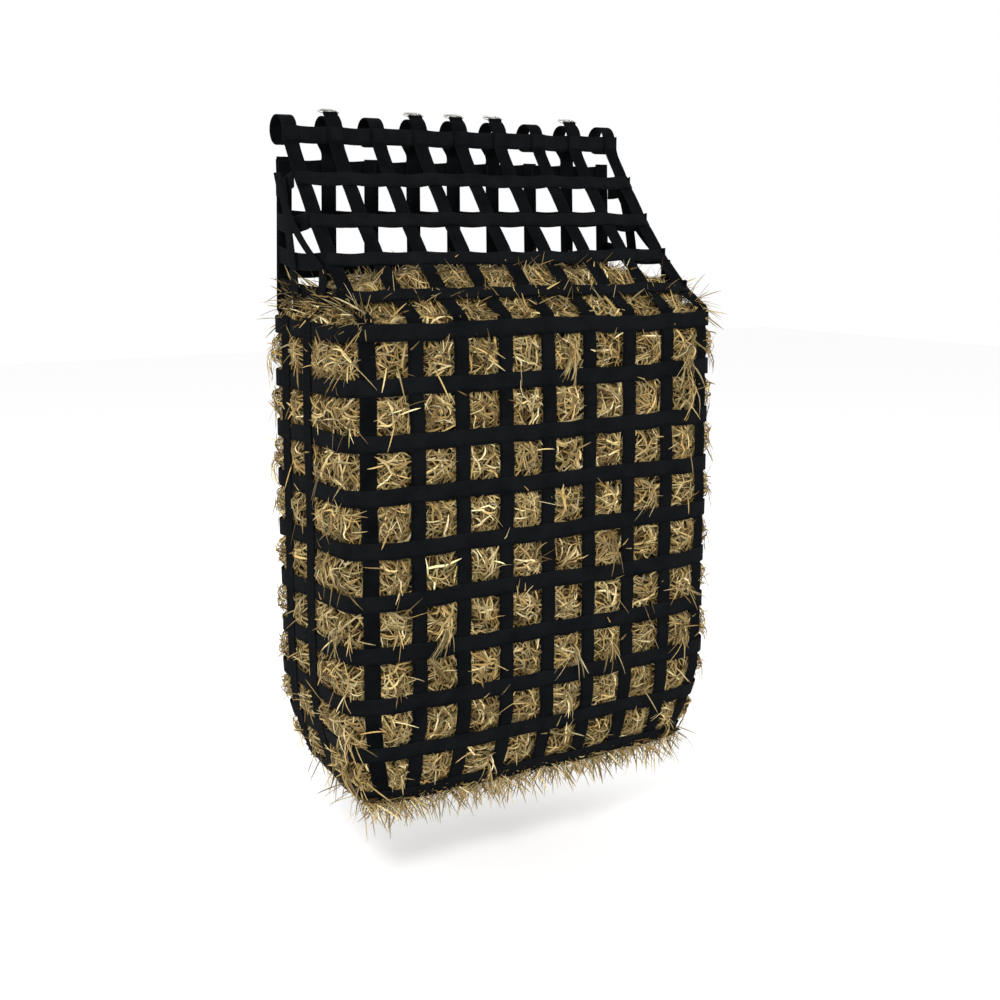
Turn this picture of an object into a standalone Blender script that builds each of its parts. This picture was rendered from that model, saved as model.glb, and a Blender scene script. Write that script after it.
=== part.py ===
"""Slow-feed hay net: a boxy bag of 1 in webbing in a 3 in grid, packed with hay and
hung over a round rail. Metres, +Z up, X along the rail, -Y to the front.
The origin is on the rail's axis, half way along the bag."""
import math
import bpy

# Driving dimensions, in millimetres.
WIDTH = 666.0            # filled bag, side to side: the 635 mm front panel and its bellied sides
DEPTH = 279.4            # bag, front to back
WEB = 25.4               # width of every strap and band
THICK = 1.6              # thickness of the webbing
GAP = 0.3                # air between two layers
PITCH = 76.2             # strap to strap across the front and the back
N = 12.0                 # squareness of the plan's corners
ROW = 78.0               # band to band down the box
RAIL_R = 21.1            # the rail that the hangers are made for
BACK_Y = 2.0             # rear face of the back panel
BEND_ROW_Z = -290.0      # middle of the band where the front bends back
HINGE_Z = -276.0         # fold line of the mouth flap
RINGS = 10               # bands that run right round the box
INSET = 36.0             # how far the foot of the box draws in
LIFT = 35.0              # how much higher the rear of the foot hangs
BELLY = 44.8             # sag of the bottom net
TOP_PITCH = 74.5         # strap to strap along the top edge band
RING_WIRE = 3.2
RING_PHI = 72.0          # where the ring tabs end on the rail, degrees over the front
RING_DEPTH = 16.0

A = WIDTH / 2.0
B = DEPTH / 2.0
YC = BACK_Y - B
H = WEB / 2.0
D1 = THICK + GAP
D2 = D1 + THICK
D3 = D2 + GAP
CROSS_X = 3 * PITCH + H
CROSS_Y = B / 2 + H + 2.0
FOOT_Z = BEND_ROW_Z - ROW * (RINGS - 1) - H
CURVE_Z = BEND_ROW_Z - ROW * 7 + H
LIFT_Z = BEND_ROW_Z - ROW * 5 - H


def base(t):
    """The rounded oblong of the plan, in direction t."""
    c, s = math.cos(t), math.sin(t)
    r = (abs(c) ** N + abs(s) ** N) ** (-1.0 / N)
    return A * r * c, B * r * s


def arc_table(count=6000):
    """Directions round the plan from the front middle, counter-clockwise from above,
    with the distance along the outline to each."""
    angles = [-math.pi / 2 + 2 * math.pi * i / count for i in range(count + 1)]
    lengths = [0.0]
    last = base(angles[0])
    for angle in angles[1:]:
        now = base(angle)
        lengths.append(lengths[-1] + math.dist(last, now))
        last = now
    return angles, lengths


ANGLES, LENGTHS = arc_table()
HALF_ROUND = LENGTHS[-1] / 2
QUARTER_SIDE = (HALF_ROUND - 8 * PITCH) / 4


def arc_of(place):
    """Distance round to a strap's middle, for places 0 to 22 counted from the front middle."""
    place %= 22
    if place > 11:
        return 2 * HALF_ROUND - arc_of(22 - place)
    if place > 7:
        return HALF_ROUND - (11 - place) * PITCH
    if place > 4:
        return 4 * PITCH + (place - 3) * QUARTER_SIDE
    return place * PITCH


def angle_at(arc):
    """The outline's direction at this distance round from the front middle."""
    goal = arc % LENGTHS[-1]
    low, high = 0, len(LENGTHS) - 1
    while high - low > 1:
        middle = (low + high) // 2
        if LENGTHS[middle] <= goal:
            low = middle
        else:
            high = middle
    part = (goal - LENGTHS[low]) / (LENGTHS[high] - LENGTHS[low])
    return ANGLES[low] + part * (ANGLES[high] - ANGLES[low])


def inset(z):
    return INSET * (max(0.0, CURVE_Z - z) / (CURVE_Z - FOOT_Z)) ** 2


def lift(z, y):
    rise = LIFT * (min(1.0, max(0.0, LIFT_Z - z) / (LIFT_Z - FOOT_Z))) ** 1.5
    return rise * (y - (YC - B)) / DEPTH


def ramp(value, start, end):
    return min(1.0, max(0.0, (value - start) / (end - start)))


def wall(t, z, d):
    """A point on the box's wall: the outline at angle t and height z, d inside the outer face."""
    x, y = base(t)
    nx = math.copysign(abs(x / A) ** (N - 1) / A, x)
    ny = math.copysign(abs(y / B) ** (N - 1) / B, y)
    size = math.hypot(nx, ny)
    draw = inset(z)
    drawn_x = math.copysign(draw * ramp(abs(x), CROSS_X, 4 * PITCH - H), x)
    drawn_y = math.copysign(draw * ramp(abs(y), CROSS_Y, B - 8.0), y)
    x -= d * nx / size + drawn_x
    y = YC + y - d * ny / size - drawn_y
    return x, y, z + lift(z, y)


def strap_edges(k):
    """The two edge angles of the vertical strap in place k, counted from the front middle."""
    return angle_at(arc_of(k) - H), angle_at(arc_of(k) + H)


def clear_scene():
    for obj in list(bpy.data.objects):
        bpy.data.objects.remove(obj, do_unlink=True)


def material(name, colour, rough, metallic=0.0):
    made = bpy.data.materials.new(name)
    made.use_nodes = True
    shader = made.node_tree.nodes["Principled BSDF"]
    shader.inputs["Base Color"].default_value = (*colour, 1.0)
    shader.inputs["Roughness"].default_value = rough
    shader.inputs["Metallic"].default_value = metallic
    made.diffuse_color = (*colour, 1.0)
    return made


def volume(points, faces):
    total = 0.0
    for face in faces:
        p = points[face[0]]
        for i in range(1, len(face) - 1):
            q = points[face[i]]
            r = points[face[i + 1]]
            total += p[0] * (q[1] * r[2] - q[2] * r[1])
            total += p[1] * (q[2] * r[0] - q[0] * r[2])
            total += p[2] * (q[0] * r[1] - q[1] * r[0])
    return total


def add(name, points, faces, mat, origin=(0.0, 0.0, 0.0), smooth=False):
    """One closed object from points in millimetres."""
    if volume(points, faces) < 0:
        faces = [tuple(reversed(face)) for face in faces]
    mesh = bpy.data.meshes.new(name)
    local = [tuple((p[i] - origin[i]) / 1000.0 for i in range(3)) for p in points]
    mesh.from_pydata(local, [], faces)
    mesh.polygons.foreach_set("use_smooth", [smooth] * len(faces))
    mesh.materials.append(mat)
    mesh.update()
    obj = bpy.data.objects.new(name, mesh)
    obj.location = tuple(c / 1000.0 for c in origin)
    bpy.context.scene.collection.objects.link(obj)
    return obj


def skin(name, sections, mat, closed=False, **more):
    """A closed strip through these sections, each with the same number of points."""
    size = len(sections[0])
    points = [p for section in sections for p in section]
    count = len(sections)
    faces = []
    for i in range(count if closed else count - 1):
        j = (i + 1) % count
        for a in range(size):
            b = (a + 1) % size
            faces.append((i * size + a, i * size + b, j * size + b, j * size + a))
    if not closed:
        faces.append(tuple(reversed(range(size))))
        faces.append(tuple(range((count - 1) * size, count * size)))
    return add(name, points, faces, mat, **more)


def box(name, low, high, mat):
    sections = []
    for x in (low[0], high[0]):
        sections.append([
            (x, low[1], low[2]),
            (x, high[1], low[2]),
            (x, high[1], high[2]),
            (x, low[1], high[2]),
        ])
    return skin(name, sections, mat)


def offset_path(path, amount, closed=False):
    """A path in the YZ plane moved sideways, to its left as it runs."""
    moved = []
    count = len(path)
    for i, (y, z) in enumerate(path):
        if closed:
            before, after = path[i - 1], path[(i + 1) % count]
        else:
            before, after = path[max(0, i - 1)], path[min(count - 1, i + 1)]
        normals = []
        for one, two in ((before, (y, z)), ((y, z), after)):
            length = math.dist(one, two)
            if length > 1e-9:
                normals.append((-(two[1] - one[1]) / length, (two[0] - one[0]) / length))
        ny = sum(n[0] for n in normals) / len(normals)
        nz = sum(n[1] for n in normals) / len(normals)
        scale = 1.0 / max(0.5, ny * ny + nz * nz)
        moved.append((y + amount * ny * scale, z + amount * nz * scale))
    return moved


def ribbon(name, path, x, mat, closed=False, **more):
    """A strap whose middle line is this path in the YZ plane, centred on x."""
    left = offset_path(path, THICK / 2, closed)
    right = offset_path(path, -THICK / 2, closed)
    sections = []
    for (y1, z1), (y2, z2) in zip(left, right):
        sections.append([(x - H, y1, z1), (x + H, y1, z1), (x + H, y2, z2), (x - H, y2, z2)])
    return skin(name, sections, mat, closed, **more)


def row_z(row):
    return BEND_ROW_Z - ROW * (row - 5)


# The plan of the box: both edges of each strap, and a middle point in the windows
# next to a corner strap.
PLAN = []
for place in range(22):
    PLAN.extend(strap_edges(place))
    if place in (3, 4, 6, 7, 14, 15, 17, 18):
        PLAN.append(angle_at((arc_of(place) + arc_of(place + 1)) / 2))

FRONT_PLACES = (18, 19, 20, 21, 0, 1, 2, 3, 4)
BACK_PLACES = (15, 14, 13, 12, 11, 10, 9, 8, 7)
TOP_X = [TOP_PITCH * (i - 4) for i in range(9)]
LEVELS = [HINGE_Z - 1.0, LIFT_Z]
for row in range(11, 15):
    LEVELS.extend((row_z(row) + H, row_z(row) - H))
FLAT_Z = -221.0
BACK_TOP_Z = -36.0
BACK_ROWS = (-55.4, -131.6, -207.8)
EDGE_X = TOP_X[8] + H
FOOT_A = A - INSET
FOOT_B = B - INSET


def bottom(x, y):
    """Height of the bottom net's lower face."""
    u = (y - YC) / FOOT_B
    sag = BELLY * (1.0 - min(1.0, u * u))
    over = max(0.0, abs(x) - CROSS_X) / (FOOT_A - CROSS_X)
    return FOOT_Z + lift(FOOT_Z, y) - sag * (1.0 - min(1.0, over * over))


def upright(edges, z, swap=False, d1=D1, d2=D2):
    one, two = reversed(edges) if swap else edges
    return [wall(one, z, d1), wall(two, z, d1), wall(two, z, d2), wall(one, z, d2)]


def cross_edge(place, n):
    """Where one edge of a cross strap starts under the bottom."""
    return upright(strap_edges(place), FOOT_Z)[n][1]


def back_section(i, z):
    y1, y2 = BACK_Y - D1, BACK_Y - D2
    x1, x2 = TOP_X[i] - H, TOP_X[i] + H
    return [(x1, y1, z), (x2, y1, z), (x2, y2, z), (x1, y2, z)]


def make_long_strap(i, mat):
    """Down the front, under the bottom and up the back to just under the rail."""
    front = strap_edges(FRONT_PLACES[i])
    back = strap_edges(BACK_PLACES[i])
    sections = [upright(front, z) for z in LEVELS]
    x1 = sections[-1][0][0]
    x2 = sections[-1][1][0]
    half = FOOT_B - D1
    crossings = [cross_edge(place, n) for place in (5, 6) for n in (0, 1)]
    for y in [YC - half + 5.0, YC - 60.0] + sorted(crossings) + [YC + half - 5.0]:
        z = bottom(0.0, y)
        sections.append([(x1, y, z + D1), (x2, y, z + D1), (x2, y, z + D2), (x1, y, z + D2)])
    for z in reversed(LEVELS[1:]):
        sections.append(upright(back, z, swap=True))
    sections.append(upright(back, BEND_ROW_Z + H, swap=True))
    sections.append(back_section(i, FLAT_Z))
    sections.append(back_section(i, BACK_TOP_Z))
    return skin(f"long_strap_{i + 1}", sections, mat)


def make_corner_straps(side, mat):
    """The front corner strap ends at the fold line, the back one under the rail."""
    name = "left" if side < 0 else "right"
    i = 0 if side < 0 else 8
    edges = strap_edges(FRONT_PLACES[i])
    skin(f"{name}_front_corner_strap", [upright(edges, z) for z in LEVELS], mat)
    edges = strap_edges(BACK_PLACES[i])
    sections = [back_section(i, BACK_TOP_Z), back_section(i, FLAT_Z)]
    for z in [BEND_ROW_Z + H] + LEVELS[1:]:
        sections.append(upright(edges, z, swap=True))
    skin(f"{name}_back_corner_strap", sections, mat)


def make_cross_strap(name, right_place, left_place, mat):
    """Down the left side, under the long straps and up the right side."""
    left = strap_edges(left_place)
    right = strap_edges(right_place)
    sections = [upright(left, z, swap=True) for z in LEVELS]
    y1, y2 = cross_edge(right_place, 0), cross_edge(right_place, 1)
    xs = [FOOT_A - 8.0, 272.0, CROSS_X + 0.5]
    for x in [-x for x in xs] + list(reversed(xs)):
        low1, low2 = bottom(x, y1), bottom(x, y2)
        sections.append([
            (x, y1, low1),
            (x, y2, low2),
            (x, y2, low2 + THICK),
            (x, y1, low1 + THICK),
        ])
    for z in reversed(LEVELS):
        sections.append(upright(right, z))
    return skin(name, sections, mat)


def make_ring(row, mat):
    top, low = row_z(row) + H, row_z(row) - H
    sections = []
    for t in PLAN:
        sections.append([
            wall(t, top, 0.0),
            wall(t, top, THICK),
            wall(t, low, THICK),
            wall(t, low, 0.0),
        ])
    return skin(f"ring_band_{row:02d}", sections, mat, closed=True)


# The mouth flap: the front panel above the fold line, leaning back to the rail.
FLAP_TOP = (-(RAIL_R + 7.6), -20.0)


def flap_edge(i, right):
    t = strap_edges(FRONT_PLACES[i])[1 if right else 0]
    x, y, _ = wall(t, HINGE_Z, 0.0)
    return (x, y, HINGE_Z + 4.5), (TOP_X[i] + (H if right else -H), *FLAP_TOP)


def bezier(p0, p3, q):
    p1 = (p0[0] + 0.33 * (p3[0] - p0[0]), p0[1] + 92.0, p0[2] + 42.0)
    p2 = (p3[0] + 0.33 * (p0[0] - p3[0]), p3[1] - 75.0, p3[2] - 105.0)
    r = 1.0 - q
    weights = (r ** 3, 3 * r * r * q, 3 * r * q * q, q ** 3)
    slopes = (-3 * r * r, 3 * r * r - 6 * r * q, 6 * r * q - 3 * q * q, 3 * q * q)
    corners = (p0, p1, p2, p3)
    point = tuple(sum(w * p[c] for w, p in zip(weights, corners)) for c in range(3))
    slope = tuple(sum(w * p[c] for w, p in zip(slopes, corners)) for c in range(3))
    return point, slope


def flap_measure():
    ends = flap_edge(4, False)
    steps = 400
    points = [bezier(*ends, i / steps)[0] for i in range(steps + 1)]
    lengths = [0.0]
    for one, two in zip(points, points[1:]):
        lengths.append(lengths[-1] + math.dist(one, two))
    return lengths


FLAP_LENGTHS = flap_measure()
FLAP_LENGTH = FLAP_LENGTHS[-1]
FLAP_ROW = (FLAP_LENGTH + (HINGE_Z - BEND_ROW_Z) + H) / 5.0


def flap_share(length):
    """Curve position at this distance up the flap from the fold line."""
    if length <= 0.0:
        return 0.0
    for i, so_far in enumerate(FLAP_LENGTHS):
        if so_far >= length:
            step = FLAP_LENGTHS[i] - FLAP_LENGTHS[i - 1]
            return (i - (so_far - length) / step) / (len(FLAP_LENGTHS) - 1)
    return 1.0


def flap_point(ends, length, d):
    point, slope = bezier(*ends, flap_share(length))
    size = math.hypot(slope[1], slope[2])
    return (
        point[0],
        point[1] + d * slope[2] / size,
        point[2] - d * slope[1] / size,
    )


def flap_row(row):
    return FLAP_ROW * (5 - row) - (HINGE_Z - BEND_ROW_Z)


def rail_point(radius, degrees):
    """A point round the rail: 0 degrees in front, 90 on top."""
    turn = math.radians(degrees)
    return -radius * math.cos(turn), radius * math.sin(turn)


def eye_centre():
    return rail_point(RAIL_R + 7.7, RING_PHI)


def make_flap_strap(i, mat):
    left, right = flap_edge(i, False), flap_edge(i, True)
    lengths = [0.0, 22.0]
    for row in (4, 3, 2, 1):
        lengths.extend((flap_row(row) - H, flap_row(row) + H))
    lengths.append(FLAP_LENGTH)
    sections = []
    for length in lengths:
        sections.append([
            flap_point(left, length, D1),
            flap_point(right, length, D1),
            flap_point(right, length, D2),
            flap_point(left, length, D2),
        ])
    x1, x2 = TOP_X[i] - H, TOP_X[i] + H
    radius = RAIL_R + 4.9
    line = [(-radius, -16.0)]
    if i not in (0, 2, 6, 8):
        line.append((-radius, 6.2))
        line += [rail_point(radius + 0.2, a) for a in (27, 42, 57, RING_PHI)]
        cy, cz = eye_centre()
        turn = math.radians(RING_PHI)
        for step in range(1, 8):
            angle = turn - math.pi + step * math.radians(38.0)
            line.append((cy - 2.8 * math.cos(angle), cz + 2.8 * math.sin(angle)))
    else:
        line.append((-radius, 5.7))
    outer = offset_path(line, THICK / 2)
    inner = offset_path(line, -THICK / 2)
    for (y1, z1), (y2, z2) in zip(outer, inner):
        sections.append([(x1, y1, z1), (x2, y1, z1), (x2, y2, z2), (x1, y2, z2)])
    return skin(f"flap_strap_{i + 1}", sections, mat)


def make_flap_band(row, mat):
    sections = []
    for i in range(9):
        for right in (False, True):
            ends = flap_edge(i, right)
            low, top = flap_row(row) - H, flap_row(row) + H
            sections.append([
                flap_point(ends, low, 0.0),
                flap_point(ends, top, 0.0),
                flap_point(ends, top, THICK),
                flap_point(ends, low, THICK),
            ])
    return skin(f"flap_band_{row}", sections, mat)


def make_front_loop(i, mat):
    """A closed hanging loop, sewn to the rear face of the top edge band."""
    radius = RAIL_R + 0.3 + THICK / 2
    path = [rail_point(radius, a) for a in range(0, 271, 18)]
    path += [(-radius + 5.0, -radius), (-radius + 1.5, -radius + 1.5), (-radius, -radius + 5.0)]
    return ribbon(f"hanging_loop_{i + 1}", path, TOP_X[i], mat, closed=True)


def make_back_loop(i, mat):
    """A hanging loop whose two ends are sewn down on the back panel's top band."""
    radius = RAIL_R + 0.3 + THICK / 2
    front_y = BACK_Y - D3 - THICK * 1.5 - GAP
    rear_y = BACK_Y - D3 - THICK * 0.5
    path = [(front_y, -66.0), (front_y, -33.0)]
    path += [rail_point(radius, a) for a in range(-56, 241, 27)]
    path += [(rear_y, -33.0), (rear_y, -66.0)]
    return ribbon(f"back_loop_{i + 1}", path, TOP_X[i], mat)


def make_ring_fitting(i, mat):
    """A steel D-ring: its straight bar lies in the tab's eye."""
    cy, cz = eye_centre()
    turn = math.radians(RING_PHI)
    along = (math.sin(turn), math.cos(turn))
    half = H + 1.2 + RING_WIRE / 2
    corner = 6.5
    outline = [(-half + 2.0, 0.0), (half - 2.0, 0.0), (half - 0.6, 0.6), (half, 2.0)]
    for step in range(5):
        angle = math.radians(22.5 * step)
        outline.append((
            half - corner + corner * math.cos(angle),
            RING_DEPTH - corner + corner * math.sin(angle),
        ))
    for step in range(5):
        angle = math.radians(90 + 22.5 * step)
        outline.append((
            -half + corner + corner * math.cos(angle),
            RING_DEPTH - corner + corner * math.sin(angle),
        ))
    outline += [(-half, 2.0), (-half + 0.6, 0.6)]
    count = len(outline)
    sections = []
    for n, (u, v) in enumerate(outline):
        pu, pv = outline[n - 1]
        qu, qv = outline[(n + 1) % count]
        du, dv = qu - pu, qv - pv
        size = math.hypot(du, dv)
        side = (dv / size, -du / size)
        section = []
        for step in range(6):
            angle = math.radians(60 * step)
            s = RING_WIRE / 2 * math.cos(angle)
            r = RING_WIRE / 2 * math.sin(angle)
            uu, vv = u + s * side[0], v + s * side[1]
            section.append((
                TOP_X[i] + uu,
                cy + vv * along[0] - r * along[1],
                cz + vv * along[1] + r * along[0],
            ))
        sections.append(section)
    return skin(
        f"d_ring_{i + 1}", sections, mat, closed=True, origin=(TOP_X[i], cy, cz), smooth=True
    )


def make_gusset(side, mat):
    """The upper side net, gathered between the flap and the back panel."""
    i = 0 if side < 0 else 8
    ends = flap_edge(i, side > 0)
    us = (0.0, 0.455, 0.545, 0.705, 0.795, 1.0)
    bands = [(flap_row(row) - H, flap_row(row) + H) for row in (4, 3, 2, 1)]
    vs = [4.0] + [edge for band in bands for edge in band] + [FLAP_LENGTH - 14.0]
    inner, outer = {}, {}
    points, faces = [], []

    def solid(a, b):
        if not (0 <= a < len(us) - 1 and 0 <= b < len(vs) - 1):
            return False
        return a in (1, 3) or b % 2 == 1

    def place(u, length):
        front = flap_point(ends, length, D2 + 1.0)
        share = length / FLAP_LENGTH
        back_z = HINGE_Z + 3.0 + share * (-48.0 - HINGE_Z)
        y = front[1] + u * (BACK_Y - 14.0 - front[1])
        z = front[2] + u * (back_z - front[2])
        bulge = 3.0 * math.sin(math.pi * u) * math.sin(math.pi * min(1.0, share))
        return side * (EDGE_X + 1.4 + bulge), y, z

    for a, u in enumerate(us):
        for b, length in enumerate(vs):
            x, y, z = place(u, length)
            inner[a, b] = len(points)
            points.append((x, y, z))
            outer[a, b] = len(points)
            points.append((x + side * THICK, y, z))
    for a in range(len(us) - 1):
        for b in range(len(vs) - 1):
            if not solid(a, b):
                continue
            ring = [(a, b), (a + 1, b), (a + 1, b + 1), (a, b + 1)]
            faces.append(tuple(outer[c] for c in ring))
            faces.append(tuple(inner[c] for c in reversed(ring)))
            for m, beside in enumerate(((a, b - 1), (a + 1, b), (a, b + 1), (a - 1, b))):
                if not solid(*beside):
                    one, two = ring[m], ring[(m + 1) % 4]
                    faces.append((inner[one], inner[two], outer[two], outer[one]))
    used = sorted({p for face in faces for p in face})
    number = {p: n for n, p in enumerate(used)}
    faces = [tuple(number[p] for p in face) for face in faces]
    name = "left_gusset" if side < 0 else "right_gusset"
    return add(name, [points[p] for p in used], faces, mat)


def make_hay(mat):
    """The packed hay: it fills the box, sags with the bottom and heaps up under the flap."""
    plan = PLAN
    sections = []
    for share in (0.35, 0.7, 0.9):
        section = []
        for t in plan:
            x, y, _ = wall(t, FOOT_Z, D3 + 3.0)
            x, y = x * share, YC + (y - YC) * share
            section.append((x, y, bottom(x, y) + D3 + 7.0))
        sections.append(section)
    for z in reversed(LEVELS):
        if z == LEVELS[-1]:
            z += 8.0
        sections.append([wall(t, z, D3 + 1.0) for t in plan])
    shoulder = [wall(t, HINGE_Z, D3 + 2.0) for t in plan]
    reach = EDGE_X - 4.0
    sections.append([(max(-reach, min(reach, x)), y, HINGE_Z + 0.7) for x, y, _ in shoulder])
    flap_line = [bezier(*flap_edge(4, False), step / 40.0)[0] for step in range(41)]
    for share in (0.96, 0.88, 0.74, 0.55, 0.3):
        section = []
        for t in plan:
            x, y, _ = wall(t, HINGE_Z, D3)
            x, y = x * share, YC + (y - YC) * share
            x = max(-reach, min(reach, x))
            dome = -204.0 - 46.0 * abs(x / A) ** 4 - 18.0 * ((y - YC + B) / DEPTH) ** 2
            edge = 1.0 - ((1.0 - share) / 0.12)
            if edge > 0.0:
                dome -= 26.0 * edge
            roof = min(p[2] + 1.2 * abs(p[1] - y) for p in flap_line) - 12.0
            section.append((x, y, min(dome, roof)))
        sections.append(section)
    return skin("packed_hay", sections, mat, smooth=False)


def hang_flap_on_hinge():
    """Everything that swings with the mouth flap hangs from an empty on its fold line."""
    hinge = bpy.data.objects.new("mouth_hinge", None)
    hinge.location = (0.0, (YC - B + D2 - THICK / 2) / 1000.0, HINGE_Z / 1000.0)
    bpy.context.scene.collection.objects.link(hinge)
    bpy.context.view_layer.update()
    for piece in list(bpy.data.objects):
        if piece.name.startswith(("flap_", "top_edge_band", "hanging_loop_", "d_ring_")):
            piece.parent = hinge
            piece.matrix_parent_inverse = hinge.matrix_world.inverted()


def main():
    clear_scene()
    webbing = material("Black webbing", (0.012, 0.014, 0.018), 0.62)
    side_webbing = material("Black webbing, bands", (0.015, 0.017, 0.021), 0.58)
    steel = material("Nickel-plated steel", (0.78, 0.77, 0.74), 0.22, 1.0)
    hay = material("Hay", (0.50, 0.38, 0.17), 0.85)
    for i in range(1, 8):
        make_long_strap(i, webbing)
    for side in (-1, 1):
        make_corner_straps(side, webbing)
        make_gusset(side, webbing)
    make_cross_strap("cross_strap_front", 5, 17, webbing)
    make_cross_strap("cross_strap_back", 6, 16, webbing)
    for row in range(5, 15):
        make_ring(row, side_webbing)
    for n, z in enumerate(BACK_ROWS):
        box(
            f"back_band_{n + 1}",
            (-EDGE_X, BACK_Y - THICK, z - H),
            (EDGE_X, BACK_Y, z + H),
            side_webbing,
        )
    for i in range(9):
        make_flap_strap(i, webbing)
        if i in (0, 2, 6, 8):
            make_front_loop(i, webbing)
        else:
            make_back_loop(i, webbing)
            make_ring_fitting(i, steel)
    for row in (1, 2, 3, 4):
        make_flap_band(row, side_webbing)
    radius = RAIL_R + 2.2
    box(
        "top_edge_band",
        (-EDGE_X, -radius - THICK, -19.7),
        (EDGE_X, -radius, 5.7),
        side_webbing,
    )
    make_hay(hay)
    hang_flap_on_hinge()


main()
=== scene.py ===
"""Looks of the hay net: black webbing woven into a bag, nickel rings and packed hay."""

import math

import bpy
import numpy as np
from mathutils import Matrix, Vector


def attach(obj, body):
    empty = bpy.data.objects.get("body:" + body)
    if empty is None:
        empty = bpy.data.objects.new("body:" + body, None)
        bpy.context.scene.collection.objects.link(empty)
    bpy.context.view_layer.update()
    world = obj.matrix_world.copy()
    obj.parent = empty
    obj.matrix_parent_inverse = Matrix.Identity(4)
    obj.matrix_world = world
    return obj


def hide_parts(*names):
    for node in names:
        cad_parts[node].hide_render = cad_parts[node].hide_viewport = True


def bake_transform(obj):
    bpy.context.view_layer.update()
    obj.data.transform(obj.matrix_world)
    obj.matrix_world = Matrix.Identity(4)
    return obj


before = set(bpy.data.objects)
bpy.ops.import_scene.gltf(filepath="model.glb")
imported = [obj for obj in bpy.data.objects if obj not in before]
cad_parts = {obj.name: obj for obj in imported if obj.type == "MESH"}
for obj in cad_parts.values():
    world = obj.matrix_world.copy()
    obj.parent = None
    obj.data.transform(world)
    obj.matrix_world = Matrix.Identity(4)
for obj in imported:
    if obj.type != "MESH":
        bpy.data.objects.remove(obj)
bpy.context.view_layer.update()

# Sizes in millimetres, as in the CAD model.
WIDTH = 666.0
DEPTH = 279.4
WEB = 25.4
THICK = 1.6
PITCH = 76.2
SQUARENESS = 12.0
ROW = 78.0
RAIL_R = 21.1
BACK_Y = 2.0
BEND_ROW_Z = -290.0
HINGE_Z = -276.0
INSET = 36.0
LIFT = 35.0
BELLY = 44.8
TOP_PITCH = 74.5
RING_WIRE = 3.2
RING_PHI = 72.0
RING_DEPTH = 16.0
EYE_R = RAIL_R + 7.7
TAB_R = RAIL_R + 5.1

A = WIDTH / 2
B = DEPTH / 2
YC = BACK_Y - B
H = WEB / 2
CROSS_X = 3 * PITCH + H
CROSS_Y = B / 2 + H + 2.0
FOOT_Z = BEND_ROW_Z - ROW * 9 - H
CURVE_Z = BEND_ROW_Z - ROW * 7 + H
LIFT_Z = BEND_ROW_Z - ROW * 5 - H
FOOT_A = A - INSET
FOOT_B = B - INSET
EDGE_X = TOP_PITCH * 4 + H
FLAP_TOP = (-(RAIL_R + 7.6), -20.0)
BACK_ROWS = (-55.4, -131.6, -207.8)
BACK_TOP_Z = -36.0
FRONT_PLACES = (18, 19, 20, 21, 0, 1, 2, 3, 4)
BACK_PLACES = (15, 14, 13, 12, 11, 10, 9, 8, 7)
SIDE_PLACES = (5, 6, 16, 17)
LOOP_COLUMNS = (0, 2, 6, 8)
NOWHERE = -2000.0

# How the webbing lies: distance inside the bag's outer face.
OVER = 0.8
UNDER = 2.7
SLACK = 1.4
BEHIND = 5.6
PUFF_SIDE = 2.5
PUFF_FRONT = 4.0

# How far hay may poke out past the webbing: sideways, forwards and to the back, and the lowest tip.
REACH_SIDE = 13.6
REACH_FACE = 18.0
FARTHEST_X = WIDTH / 2 + 14.0
FARTHEST_FRONT = -294.0
FARTHEST_BACK = 23.0
LOWEST_TIP = -1070.0

MM = 0.001


def smooth_step(value):
    value = np.clip(value, 0.0, 1.0)
    return value * value * (3.0 - 2.0 * value)


# ---------------------------------------------------------------- the bag's surface

def outline(angle):
    c, s = np.cos(angle), np.sin(angle)
    r = (np.abs(c) ** SQUARENESS + np.abs(s) ** SQUARENESS) ** (-1.0 / SQUARENESS)
    return A * r * c, B * r * s


ANGLES = np.linspace(-math.pi / 2, 1.5 * math.pi, 12001)
PLAN_X, PLAN_Y = outline(ANGLES)
LENGTHS = np.concatenate([[0.0], np.cumsum(np.hypot(np.diff(PLAN_X), np.diff(PLAN_Y)))])
ROUND = LENGTHS[-1]
QUARTER_SIDE = (ROUND / 2 - 8 * PITCH) / 4


def arc_of(place):
    """Distance round to a strap's middle, for places 0 to 22 counted from the front middle."""
    place %= 22
    if place > 11:
        return ROUND - arc_of(22 - place)
    if place > 7:
        return ROUND / 2 - (11 - place) * PITCH
    if place > 4:
        return 4 * PITCH + (place - 3) * QUARTER_SIDE
    return place * PITCH


STRAP_ARCS = np.array([arc_of(place) for place in range(22)])
ARCS_ROUND = np.concatenate([STRAP_ARCS, [ROUND]])
BAND_Z = np.array([BEND_ROW_Z - ROW * n for n in range(10)])
LOOSE = np.random.default_rng(11)
CROSS_SHIFT = LOOSE.uniform(-1.6, 1.6, (22, 10))
CROSS_DROP = LOOSE.uniform(-2.0, 2.0, (22, 10))
WINDOW_SAG = LOOSE.uniform(0.4, 2.6, (23, 10))


def window_of(s):
    """The window that this distance round lies in, counted from the strap before it."""
    return np.clip(np.searchsorted(ARCS_ROUND, s, side="right") - 1, 0, 21)


def eased(position, knots, values):
    """Values carried from knot to knot with a level start and end at each."""
    index = np.clip(np.searchsorted(knots, position, side="right") - 1, 0, len(knots) - 2)
    part = smooth_step((position - knots[index]) / (knots[index + 1] - knots[index]))
    return values[index] * (1.0 - part) + values[index + 1] * part


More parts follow.
